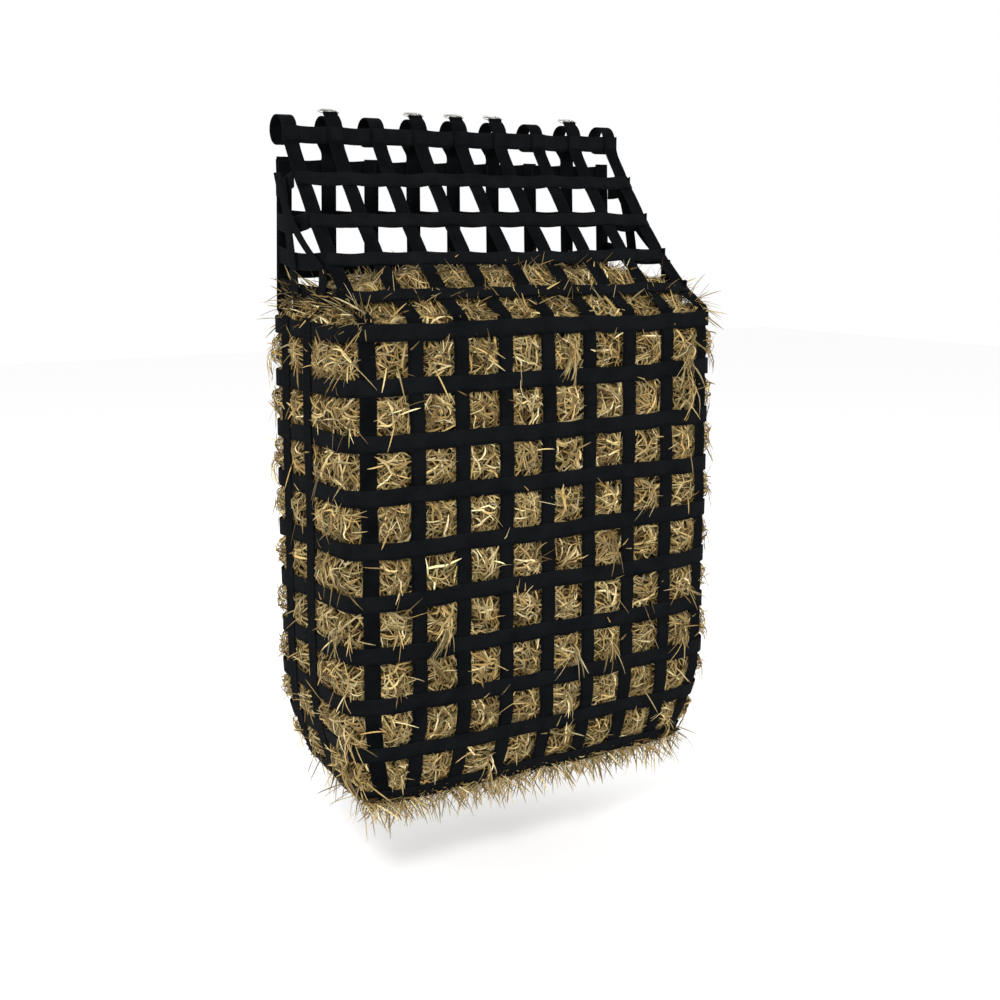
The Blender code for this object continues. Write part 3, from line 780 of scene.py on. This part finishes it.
def make_loops():
    """The hanging loops: four from the flap's top band, five from the back panel."""
    radius = RAIL_R + 0.3 + THICK / 2
    for i in range(9):
        x = (i - 4) * TOP_PITCH
        if i in LOOP_COLUMNS:
            ring = [tuple(rail_point(radius, a)) for a in range(0, 271, 9)]
            ring += [(-radius + 5.0, -radius), (-radius + 1.5, -radius + 1.5), (-radius, -radius + 5.0)]
            path = with_knots(in_plane(x, ring), NOWHERE)
            obj = flat_strip(f"loop_{i + 1}", path, (1, 0, 0), (0, 0, 1), LOOP, closed=True, step=3.0)
            dress(obj, "mouth_flap", "webbing", f"hanging_loop_{i + 1}")
        else:
            inner = BACK_Y - 3.8
            line = [(inner - 2.7, -66.0), (inner - 2.7, -33.0)]
            line += [tuple(rail_point(radius, a)) for a in range(-56, 241, 9)]
            line += [(inner - 0.8, -33.0), (inner - 0.8, -66.0)]
            path = with_knots(in_plane(x, line), NOWHERE)
            obj = flat_strip(f"loop_{i + 1}", path, (1, 0, 0), (0, -1, 0), LOOP, step=3.0)
            dress(obj, "net_body", "webbing", f"back_loop_{i + 1}")


def make_rings():
    """Round-wire D-rings, their straight bars in the tabs' eyes."""
    cy, cz = rail_point(EYE_R, RING_PHI)
    turn = math.radians(RING_PHI)
    half = H + 1.2 + RING_WIRE / 2
    round_low, round_top = 3.0, 6.5
    line = []
    for cu, cv, radius, first in (
            (half - round_low, round_low, round_low, -90),
            (half - round_top, RING_DEPTH - round_top, round_top, 0),
            (-half + round_top, RING_DEPTH - round_top, round_top, 90),
            (-half + round_low, round_low, round_low, 180)):
        for step in range(9):
            angle = math.radians(first + 11.25 * step)
            line.append((cu + radius * math.cos(angle), cv + radius * math.sin(angle), 0.0))
    line, _ = evenly(line, 1.0, True)
    line = softened(line, True, 3)
    tangent = np.roll(line, -1, 0) - np.roll(line, 1, 0)
    tangent /= np.linalg.norm(tangent, axis=1)[:, None]
    side = np.stack([tangent[:, 1], -tangent[:, 0], np.zeros(len(line))], axis=-1)
    around = np.linspace(0.0, 2 * math.pi, 16, endpoint=False)
    wire = (line[:, None, :] + RING_WIRE / 2 * (
        np.cos(around)[None, :, None] * side[:, None, :]
        + np.sin(around)[None, :, None] * np.array([0.0, 0.0, 1.0])))
    n, m = wire.shape[:2]
    j, i = np.arange(n)[:, None], np.arange(m)[None, :]
    j2, i2 = (j + 1) % n, (i + 1) % m
    quads = np.stack([j * m + i, j2 * m + i, j2 * m + i2, j * m + i2], axis=-1)
    u, v, w = wire.reshape(-1, 3).T
    for column in range(9):
        if column in LOOP_COLUMNS:
            continue
        points = np.stack([
            (column - 4) * TOP_PITCH + u,
            cy + v * math.sin(turn) - w * math.cos(turn),
            cz + v * math.cos(turn) + w * math.sin(turn),
        ], axis=-1)
        obj = mesh_object(f"ring_{column + 1}", points, quads, STEEL)
        dress(obj, f"ring_fitting_{column + 1}", "steel", f"d_ring_{column + 1}")


# ---------------------------------------------------------------- the side nets above the box

def gusset_point(side, u, length, out=0.0):
    """u runs from the flap's edge to the back panel, length up the flap."""
    u, length = np.broadcast_arrays(np.asarray(u, float), length)
    front = flap(np.full(u.shape, side * 4 * PITCH), length, 4.5)
    share = length / FLAP_LENGTH
    back_z = HINGE_Z + 3.0 + share * (-48.0 - HINGE_Z)
    y = front[..., 1] + u * (BACK_Y - 4.0 - front[..., 1])
    z = front[..., 2] + u * (back_z - front[..., 2])
    slack = np.sin(math.pi * u) * np.sin(math.pi * np.clip(share, 0.0, 1.0))
    x = side * (EDGE_X + 1.4 + 4.0 * slack + out)
    return np.stack([x, y, z - 7.0 * slack], axis=-1)


def make_gussets():
    for side, label in ((-1, "left"), (1, "right")):
        u = np.linspace(-0.02, 1.0, 50)
        for n, row in enumerate((4, 3, 2, 1)):
            length = flap_row(row)
            path = gusset_point(side, u, np.full(len(u), length), 0.6 * np.sin(u * 7.0 + row))
            obj = flat_strip(f"{label}_gusset_row_{row}", with_knots(path, NOWHERE), (0, 0, 1),
                             (side, 0, 0), SHEEN_BAND)
            low, high = path[-1] * MM, path[0] * MM
            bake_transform(obj)
            if n == 0:
                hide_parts(f"{label}_gusset")
        # Each tie's foot and head: share of the way back, share of the way up, then how far
        # beyond its head the tie would reach the flap.
        ties = ((0.50, 0.0, 0.03, 0.36, (0.0, 60.0, 60.0)),
                (0.74, 0.0, 0.42, 0.86, (0.0, 150.0, 60.0)),
                (0.66, 0.90, 0.06, 0.34, (0.0, 0.0, 0.0)))
        for n, (back, low, front, high, beyond) in enumerate(ties):
            share = np.linspace(0.0, 1.0, 50)
            run = 4.0 + (FLAP_LENGTH - 4.0) * (low + (high - low) * share)
            path = gusset_point(side, back + (front - back) * share, run, 2.4 + 0.95 * n)
            obj = flat_strip(f"{label}_gusset_strap_{n + 1}", with_knots(path, NOWHERE), (0, 1, 0),
                             (side, 0, 0), STRAP)
            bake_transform(obj)


# ---------------------------------------------------------------- hay

STALK_TONES = np.array([
    (0.46, 0.36, 0.17), (0.40, 0.29, 0.12), (0.33, 0.225, 0.085), (0.23, 0.15, 0.05),
    (0.62, 0.52, 0.30), (0.25, 0.20, 0.08), (0.14, 0.085, 0.03), (0.38, 0.31, 0.16),
])
TONE_SHARES = np.array([0.19, 0.20, 0.18, 0.12, 0.10, 0.08, 0.05, 0.08])
DARKEST, BRIGHTEST = 0.26, 1.65
# Painted shade: stalks lying deeper are coloured darker, green and blue fading faster than red.
SHADE_POWERS = np.array([1.0, 1.12, 1.45])   # how much faster green and blue fade with depth than red
STALK_POINTS = 6
TAPER = np.array([0.45, 0.92, 1.0, 1.0, 0.85, 0.25])
RIDGE = 0.62                                # a blade's ridge, as a share of its half width
Q = np.linspace(-1.0, 1.0, STALK_POINTS)    # along a stalk from its middle
T = (Q + 1.0) / 2                           # along a stalk from its root
LYING_WIDTHS = (0.8, 1.85)                  # half widths
STRAY_WIDTHS = (0.55, 1.2)
TUFT_WIDTHS = (0.55, 1.25)
STRAY_SHADE = 0.98
LONGEST_STALK = 72.0
FRONT_HALF = 4 * PITCH
SIDE_SPAN = ROUND / 2 - 8 * PITCH


def stalk_lines(rng, count):
    """Bent stalks drawn on a flat sheet: offsets across it, up it and out of it."""
    length = np.clip(rng.lognormal(3.62, 0.36, count), 16.0, LONGEST_STALK)[:, None]
    turn = rng.uniform(0.0, math.pi, count)[:, None]
    bend = rng.normal(0.0, 0.10, count)[:, None]
    wave = rng.normal(0.0, 0.025, count)[:, None]
    ahead = Q * length / 2
    aside = length * (bend * (Q * Q - 0.35) + wave * np.sin(math.pi * Q * 1.5))
    across = ahead * np.cos(turn) - aside * np.sin(turn)
    up = ahead * np.sin(turn) + aside * np.cos(turn)
    rise = rng.uniform(0.3, 2.2, count)[:, None] * np.sin(
        math.pi * Q * rng.uniform(0.4, 1.1, count)[:, None] + rng.uniform(0, 6.3, count)[:, None])
    return across, up, rise


def hay_piece(obj):
    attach(obj, "net_body")
    return obj


def blades(name, rng, points, normals, half_width, shade):
    """Stalks as thin ridged blades along rows of points, each with its own tone and a painted shade."""
    count = len(points)
    tangent = np.gradient(points, axis=1)
    tangent /= np.linalg.norm(tangent, axis=2)[..., None] + 1e-9
    side = np.cross(tangent, normals)
    side /= np.linalg.norm(side, axis=2)[..., None] + 1e-9
    twist = rng.normal(0.0, 0.5, (count, 1, 1)) + rng.normal(0.0, 0.25, (count, 1, 1)) * Q[None, :, None]
    out = np.cross(side, tangent)
    side, out = (side * np.cos(twist) + out * np.sin(twist),
                 out * np.cos(twist) - side * np.sin(twist))
    half = half_width[:, None, None] * TAPER[None, :, None]
    rings = np.stack([points - side * half, points + out * half * RIDGE, points + side * half], axis=2)
    k = np.arange(count)[:, None, None] * (STALK_POINTS * 3)
    j = np.arange(STALK_POINTS - 1)[None, :, None] * 3
    i = np.arange(2)[None, None, :]
    quads = np.stack([k + j + i, k + j + i + 1, k + j + i + 4, k + j + i + 3], axis=-1)
    tones = STALK_TONES[rng.choice(len(STALK_TONES), count, p=TONE_SHARES)]
    bright = np.clip(rng.lognormal(-0.15, 0.47, count), DARKEST, BRIGHTEST)
    # Painted shade: each stalk's colour is darkened and browned by how deep it lies.
    shade = np.broadcast_to(shade, count)[:, None] ** SHADE_POWERS
    tones = np.minimum(tones * bright[:, None] * shade, 0.9)
    colours = np.repeat(tones, STALK_POINTS * 3, axis=0)
    hay_piece(mesh_object(name, rings.reshape(-1, 3), quads, STALK, colours=colours))


def hay_depth(s, z):
    """Where the hay's face lies: behind the webbing, and bulging out through each window."""
    s = np.mod(s, ROUND)
    index = window_of(s)
    beside = np.minimum(s - ARCS_ROUND[index], ARCS_ROUND[index + 1] - s) - H
    row = np.clip(((BEND_ROW_Z - z) / ROW).astype(int), 0, 9)
    down = BEND_ROW_Z - z - row * ROW
    above = np.minimum(down, ROW - down) - H
    inside = smooth_step(np.minimum(beside, above) / 15.0)
    swell = 3.2 + WINDOW_SAG[index, row]
    lumps = 2.2 * np.sin(s / 8.3 + z / 13.0) * np.cos(z / 9.1 - s / 17.0)
    return BEHIND * (1.0 - inside) - (swell + lumps) * inside


def reach(s, z):
    """How far past the webbing's face a stalk may stand here."""
    s = np.mod(s, ROUND)
    across = np.minimum(s, ROUND - s)
    beside = (across > 4 * PITCH - 8.0) & (across < ROUND / 2 - 4 * PITCH + 8.0)
    return np.where(beside, REACH_SIDE, REACH_FACE) - puff(s, z)


def lay_on_wall(name, rng, s, z, depth, widths, shade):
    """Blades along lines on the wall, none standing out past its reach."""
    depth = np.maximum(depth, -reach(s, z))
    points = wall(s, z, depth)
    beyond = wall(s, z, depth - 1.0)
    blades(name, rng, points, beyond - points, rng.uniform(*widths, len(points)), shade)


def stalks_on_wall(name, rng, s_from, s_to, z_from, z_to, count):
    """Stalks lying on the wall's hay, some of them poking out past the webbing."""
    across, up, rise = stalk_lines(rng, count)
    s = rng.uniform(s_from, s_to, count)[:, None] + across
    z = rng.uniform(z_from, z_to, count)[:, None] + up
    z = np.clip(z, FOOT_Z - 2.0, HINGE_Z + 6.0)
    layer = rng.uniform(0.0, 1.0, count)[:, None] ** 1.3 * 14.0 - 1.0
    poke = np.where(rng.uniform(0, 1, count) < 0.10, rng.uniform(3.0, 10.0, count), 0.0)[:, None]
    cover = hay_depth(s, z)
    poke = poke * (cover[:, 2:3] < -1.0)
    lean = np.maximum(0.0, Q) ** 2 * poke
    deep = np.where(poke > 0.0, np.minimum(layer, 1.0), layer)
    free = np.clip((BEHIND - cover) / 6.0, 0.0, 1.0)
    depth = np.maximum(cover + deep - rise, cover - 3.0 * free) - lean
    hidden = (cover > 0.0) & (depth < BEHIND)
    depth = np.where(hidden, np.where(lean > 1.0, np.minimum(depth, -1.2), BEHIND), depth)
    # Painted shade: the deeper a stalk lies in the hay, the darker its colour.
    shade = 1.0 - 0.064 * np.clip(deep[:, 0], 0.0, 12.5)
    lay_on_wall(name, rng, s, z, depth, LYING_WIDTHS, shade)


def stalks_on_face(name, rng, count, x_half, x_most, ys, y_limits, poke_to, up_or_down, height):
    """Stalks lying on the heap or under the bottom. Their middles lie within x_half and ys,
    and all of them within x_most and y_limits."""
    across, up, rise = stalk_lines(rng, count)
    x = np.clip(rng.uniform(-x_half, x_half, count)[:, None] + across, -x_most, x_most)
    y = np.clip(rng.uniform(*ys, count)[:, None] + up, *y_limits)
    layer = rng.uniform(0.0, 1.0, count)[:, None] ** 1.4 * 11.0
    poke = np.where(rng.uniform(0, 1, count) < 0.14, rng.uniform(4.0, poke_to, count), 0.0)[:, None]
    out = rise - layer + np.maximum(0.0, Q) ** 2 * poke
    points = np.stack([x, y, height(x, y) + up_or_down * out], axis=-1)
    normals = np.broadcast_to((0.0, 0.0, up_or_down), points.shape)
    # Painted shade: the deeper a stalk lies on the heap or under the bottom, the darker its colour.
    blades(name, rng, points, normals, rng.uniform(*LYING_WIDTHS, count), 1.0 - 0.065 * layer[:, 0])


def sheet_of_hay(name, points):
    """A rumpled face of packed hay from a grid of points, in the dark painted-shade colour of the hay
    inside.
    """
    n, m = points.shape[:2]
    j, i = np.arange(n - 1)[:, None], np.arange(m - 1)[None, :]
    quads = np.stack([j * m + i, j * m + i + 1, (j + 1) * m + i + 1, (j + 1) * m + i], axis=-1)
    return hay_piece(mesh_object(name, points.reshape(-1, 3), quads, CORE_SHADE))


def heap_height(x, y):
    """The heap's top under the flap."""
    deep = np.clip((y - (YC - B)) / DEPTH, 0.0, 1.0)
    dome = -206.0 - 44.0 * np.abs(x / A) ** 4 - 16.0 * deep ** 2
    under = np.interp(y, FLAP_LINE[:, 1], FLAP_LINE[:, 2]) - 9.0
    lumps = 6.0 * np.sin(x / 27.0 + 0.6) * np.sin(y / 31.0) + 3.0 * np.sin(x / 11.0) * np.cos(y / 13.0)
    rim = np.minimum(EDGE_X - 2.0 - np.abs(x), BACK_Y - 10.0 - y)
    return np.minimum(dome + lumps, under + 0.25 * lumps) - 30.0 * (1.0 - smooth_step(rim / 34.0))


def make_hay():
    rng = np.random.default_rng(29)
    s = np.linspace(0.0, ROUND, 330)
    z = np.linspace(FOOT_Z, HINGE_Z + 6.0, 130)
    s, z = np.meshgrid(s, z)
    rough = rng.uniform(-1.6, 1.6, s.shape)
    rough[:, -1] = rough[:, 0]
    core = sheet_of_hay("hay_core", wall(s, z, hay_depth(s, z) + 13.5 + rough))
    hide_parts("packed_hay")
    x, y = np.meshgrid(np.linspace(-EDGE_X + 5.0, EDGE_X - 5.0, 110),
                       np.linspace(YC - B + 12.0, BACK_Y - 8.0, 60))
    rough = rng.uniform(-2.5, 2.5, x.shape)
    sheet_of_hay("hay_core_top", np.stack([x, y, heap_height(x, y) - 9.0 + rough], axis=-1))
    x, y = np.meshgrid(np.linspace(-FOOT_A - 4.0, FOOT_A + 4.0, 110),
                       np.linspace(YC - FOOT_B - 4.0, YC + FOOT_B + 4.0, 60))
    rough = rng.uniform(-1.6, 1.6, x.shape)
    sheet_of_hay("hay_core_under", np.stack([x, y, bottom(x, y) + 12.0 + rough], axis=-1))

    middle = (FOOT_Z + HINGE_Z) / 2
    round_corner = 12.0
    near, far = FRONT_HALF - round_corner, FRONT_HALF + SIDE_SPAN + round_corner
    for name, s_from, s_to, z_from, z_to, count in (
            ("hay_front_upper", -FRONT_HALF, FRONT_HALF, middle, HINGE_Z, 5800),
            ("hay_front_lower", -FRONT_HALF, FRONT_HALF, FOOT_Z, middle, 5800),
            ("hay_right", near, far, FOOT_Z, HINGE_Z, 5000),
            ("hay_left", -far, -near, FOOT_Z, HINGE_Z, 5000),
            ("hay_back", ROUND / 2 - FRONT_HALF, ROUND / 2 + FRONT_HALF, FOOT_Z, HINGE_Z, 7400)):
        stalks_on_wall(name, rng, s_from, s_to, z_from, z_to, count)
    stalks_on_face("hay_heap", rng, 4800, EDGE_X - 6.0, EDGE_X - 6.0,
                   (YC - B + 14.0, BACK_Y - 10.0), (YC - B + 6.0, BACK_Y - 7.0),
                   18.0, 1.0, heap_height)
    stalks_on_face("hay_under", rng, 3800, FOOT_A, FOOT_A + 10.0,
                   (YC - FOOT_B, YC + FOOT_B), (YC - FOOT_B - 8.0, YC + FOOT_B + 8.0),
                   22.0, -1.0, lambda x, y: bottom(x, y) + 4.0)


def in_window(rng, count, s_from, s_to, z_from, z_to):
    """Random places in the windows between the straps."""
    s = rng.uniform(s_from, s_to, 3 * count)
    z = rng.uniform(z_from, z_to, 3 * count)
    clear = hay_depth(s, z) < -3.0
    return s[clear][:count], z[clear][:count]


def strays_on_wall(name, rng, s_from, s_to, count):
    """Single stalks standing out of the windows, tips free."""
    s, z = in_window(rng, count, s_from, s_to, FOOT_Z + 6.0, BEND_ROW_Z + 8.0)
    count = len(s)
    length = rng.uniform(22.0, 58.0, count)
    sway = rng.normal(0.0, 0.85, count)
    climb = rng.normal(-0.35, 0.75, count)
    out = rng.uniform(0.25, 1.3, count)
    size = np.sqrt(sway ** 2 + climb ** 2 + out ** 2)
    out_by = np.minimum(out / size * length, reach(s, z) + 4.0)
    along = length[:, None] * T[None, :]
    stalk_s = s[:, None] + (sway / size)[:, None] * along
    droop = rng.uniform(0.0, 0.22, count)[:, None] * length[:, None] * T[None, :] ** 2
    stalk_z = np.maximum(z[:, None] + (climb / size)[:, None] * along - droop, FOOT_Z - 34.0)
    depth = 4.0 - out_by[:, None] * T[None, :] ** 0.8
    lay_on_wall(name, rng, stalk_s, stalk_z, depth, STRAY_WIDTHS, STRAY_SHADE)


def tufts(name, rng, s_from, s_to, count):
    """Bunches pulled out of a window and hanging down over the band below it."""
    s, z = in_window(rng, count, s_from, s_to, BAND_Z[9] + H, BEND_ROW_Z - H)
    each = rng.integers(4, 13, len(s))
    s, z = np.repeat(s, each), np.repeat(z, each)
    lean = np.repeat(rng.normal(0.0, 0.22, len(each)), each)
    count = len(s)
    s = s + rng.normal(0.0, 3.5, count)
    z = z + rng.normal(0.0, 3.0, count)
    length = rng.uniform(22.0, 62.0, count)[:, None]
    sway = (lean + rng.normal(0.0, 0.26, count))[:, None]
    curl = rng.normal(0.0, 0.08, count)[:, None]
    along = length * T[None, :]
    stalk_s = s[:, None] + sway * along + curl * along * T[None, :]
    stalk_z = np.maximum(z[:, None] - along, FOOT_Z - 30.0)
    bow = rng.uniform(3.0, 9.0, count)[:, None] * np.sin(math.pi * T[None, :] ** 0.8)
    away = rng.uniform(0.0, 6.0, count)[:, None] * T[None, :]
    depth = 3.0 - 6.5 * np.minimum(1.0, 4.0 * T[None, :]) - bow - away
    lay_on_wall(name, rng, stalk_s, stalk_z, depth, TUFT_WIDTHS, STRAY_SHADE)


def strays_from(name, rng, roots, ahead, length):
    """Stalks from roots towards ahead, cut short where they would stand out too far."""
    ahead = ahead / np.linalg.norm(ahead, axis=1)[:, None]
    most = (FARTHEST_X - np.abs(roots[:, 0])) / (np.abs(ahead[:, 0]) + 1e-6)
    lowest = (roots[:, 2] - LOWEST_TIP) / (np.maximum(-ahead[:, 2], 0.0) + 0.2)
    length = np.minimum(length, np.minimum(most, lowest))
    room = np.where(ahead[:, 1] < 0.0, roots[:, 1] - FARTHEST_FRONT, FARTHEST_BACK - roots[:, 1])
    length = np.minimum(length, room / (np.abs(ahead[:, 1]) + 1e-6))
    line = roots[:, None, :] + ahead[:, None, :] * (length[:, None] * T[None, :])[..., None]
    line[..., 2] -= 0.12 * length[:, None] * T[None, :] ** 2
    normals = np.broadcast_to(ahead[:, None, ::-1], line.shape) + np.array([0.3, -0.5, 0.2])
    blades(name, rng, line, normals, rng.uniform(*STRAY_WIDTHS, len(roots)), STRAY_SHADE)


def make_strays():
    rng = np.random.default_rng(53)
    near, far = FRONT_HALF - 14.0, FRONT_HALF + SIDE_SPAN + 14.0
    for label, low, high, single, bunches in (
            ("front", -FRONT_HALF, FRONT_HALF, 230, 36),
            ("right", near, far, 420, 22),
            ("left", -far, -near, 420, 22),
            ("back", ROUND / 2 - FRONT_HALF, ROUND / 2 + FRONT_HALF, 380, 30)):
        strays_on_wall(f"stray_{label}", rng, low, high, single)
        tufts(f"tufts_{label}", rng, low, high, bunches)
    corners = {"right_front": FRONT_HALF, "right_back": FRONT_HALF + SIDE_SPAN,
               "left_front": -FRONT_HALF, "left_back": -FRONT_HALF - SIDE_SPAN}
    for label, at in corners.items():
        strays_on_wall(f"stray_{label}", rng, at - 50.0, at + 50.0, 120)

    count = 1200
    edge = rng.uniform(0.0, 1.0, count) < 0.5
    x = rng.uniform(-FOOT_A - 8.0, FOOT_A + 8.0, count)
    y = np.where(edge, YC - FOOT_B - 4.0 + rng.uniform(0.0, 18.0, count),
                 rng.uniform(YC - FOOT_B, YC + FOOT_B, count))
    roots = np.stack([x, y, bottom(x, y) + 5.0], axis=-1)
    ahead = np.stack([rng.normal(0.0, 0.75, count), rng.normal(-0.1, 0.6, count),
                      rng.uniform(-1.0, -0.25, count)], axis=-1)
    strays_from("stray_under", rng, roots, ahead, rng.uniform(20.0, 52.0, count))

    count = 460
    x = rng.uniform(-EDGE_X + 8.0, EDGE_X - 8.0, count)
    y = rng.uniform(YC - B + 14.0, BACK_Y - 12.0, count)
    roots = np.stack([x, y, heap_height(x, y) - 3.0], axis=-1)
    ahead = np.stack([rng.normal(0.0, 0.8, count), rng.normal(0.0, 0.7, count),
                      rng.uniform(0.15, 0.8, count)], axis=-1)
    strays_from("stray_heap", rng, roots, ahead, rng.uniform(20.0, 52.0, count))

    count = 800
    side = np.where(rng.uniform(0.0, 1.0, count) < 0.5, -1.0, 1.0)
    y = rng.uniform(YC - B + 10.0, BACK_Y - 14.0, count)
    z = HINGE_Z + rng.uniform(-8.0, 44.0, count) * np.interp(y, (YC - B, YC), (0.3, 1.0))
    roots = np.stack([side * (EDGE_X - 10.0), y, z], axis=-1)
    ahead = np.stack([side * rng.uniform(0.25, 1.0, count), rng.normal(0.0, 0.9, count),
                      rng.normal(-0.05, 0.75, count)], axis=-1)
    strays_from("stray_shoulders", rng, roots, ahead, rng.uniform(22.0, 60.0, count))


# ---------------------------------------------------------------- studio

CAMERA_AT = Vector((-1.2847, -2.1387, -0.1367))
CAMERA_YAW = 0.5717
CAMERA_PITCH = -0.1831
LENS_MM = 54.10
FLOOR_Z = -1.16


def area_light(name, place, target, size, watts):
    data = bpy.data.lights.new(name, "AREA")
    data.shape = "DISK"
    data.size = size
    data.energy = watts
    obj = bpy.data.objects.new(name, data)
    obj.location = place
    obj.rotation_euler = (Vector(target) - Vector(place)).to_track_quat("-Z", "Y").to_euler()
    bpy.context.scene.collection.objects.link(obj)


def make_studio():
    mesh = bpy.data.meshes.new("floor")
    corners = [(-9, -9, FLOOR_Z), (9, -9, FLOOR_Z), (9, 9, FLOOR_Z), (-9, 9, FLOOR_Z)]
    mesh.from_pydata(corners, [], [(0, 1, 2, 3)])
    floor = bpy.data.objects.new("floor", mesh)
    bpy.context.scene.collection.objects.link(floor)
    n = Nodes("Pale floor", Roughness=0.9, Base_Color=(0.96, 0.96, 0.96, 1.0), Specular_IOR_Level=0.1)
    mesh.materials.append(n.mat)

    world = bpy.data.worlds.new("Studio")
    bpy.context.scene.world = world
    world.use_nodes = True
    world.node_tree.nodes["Background"].inputs["Color"].default_value = (1.0, 1.0, 1.0, 1.0)
    world.node_tree.nodes["Background"].inputs["Strength"].default_value = 1.0
    bpy.context.scene.view_settings.view_transform = "Standard"
    middle = (0.0, -0.14, -0.5)
    area_light("key", (-2.6, -3.2, 2.2), middle, 1.1, 125.0)
    area_light("fill", (2.6, -2.6, 0.4), middle, 2.2, 26.0)
    area_light("back", (0.5, 2.8, 1.2), middle, 2.0, 34.0)

    data = bpy.data.cameras.new("Camera")
    data.lens = LENS_MM
    data.sensor_width = 36.0
    data.clip_end = 50.0
    camera = bpy.data.objects.new("Camera", data)
    level = math.cos(CAMERA_PITCH)
    ahead = Vector((level * math.sin(CAMERA_YAW), level * math.cos(CAMERA_YAW), math.sin(CAMERA_PITCH)))
    camera.location = CAMERA_AT
    camera.rotation_euler = ahead.to_track_quat("-Z", "Y").to_euler()
    bpy.context.scene.collection.objects.link(camera)
    bpy.context.scene.camera = camera


make_bands()
make_corner_straps()
make_long_straps()
make_cross_straps()
make_back_bands()
make_flap_straps()
make_flap_bands()
make_top_band()
make_loops()
make_rings()
make_gussets()
make_hay()
make_strays()
make_studio()
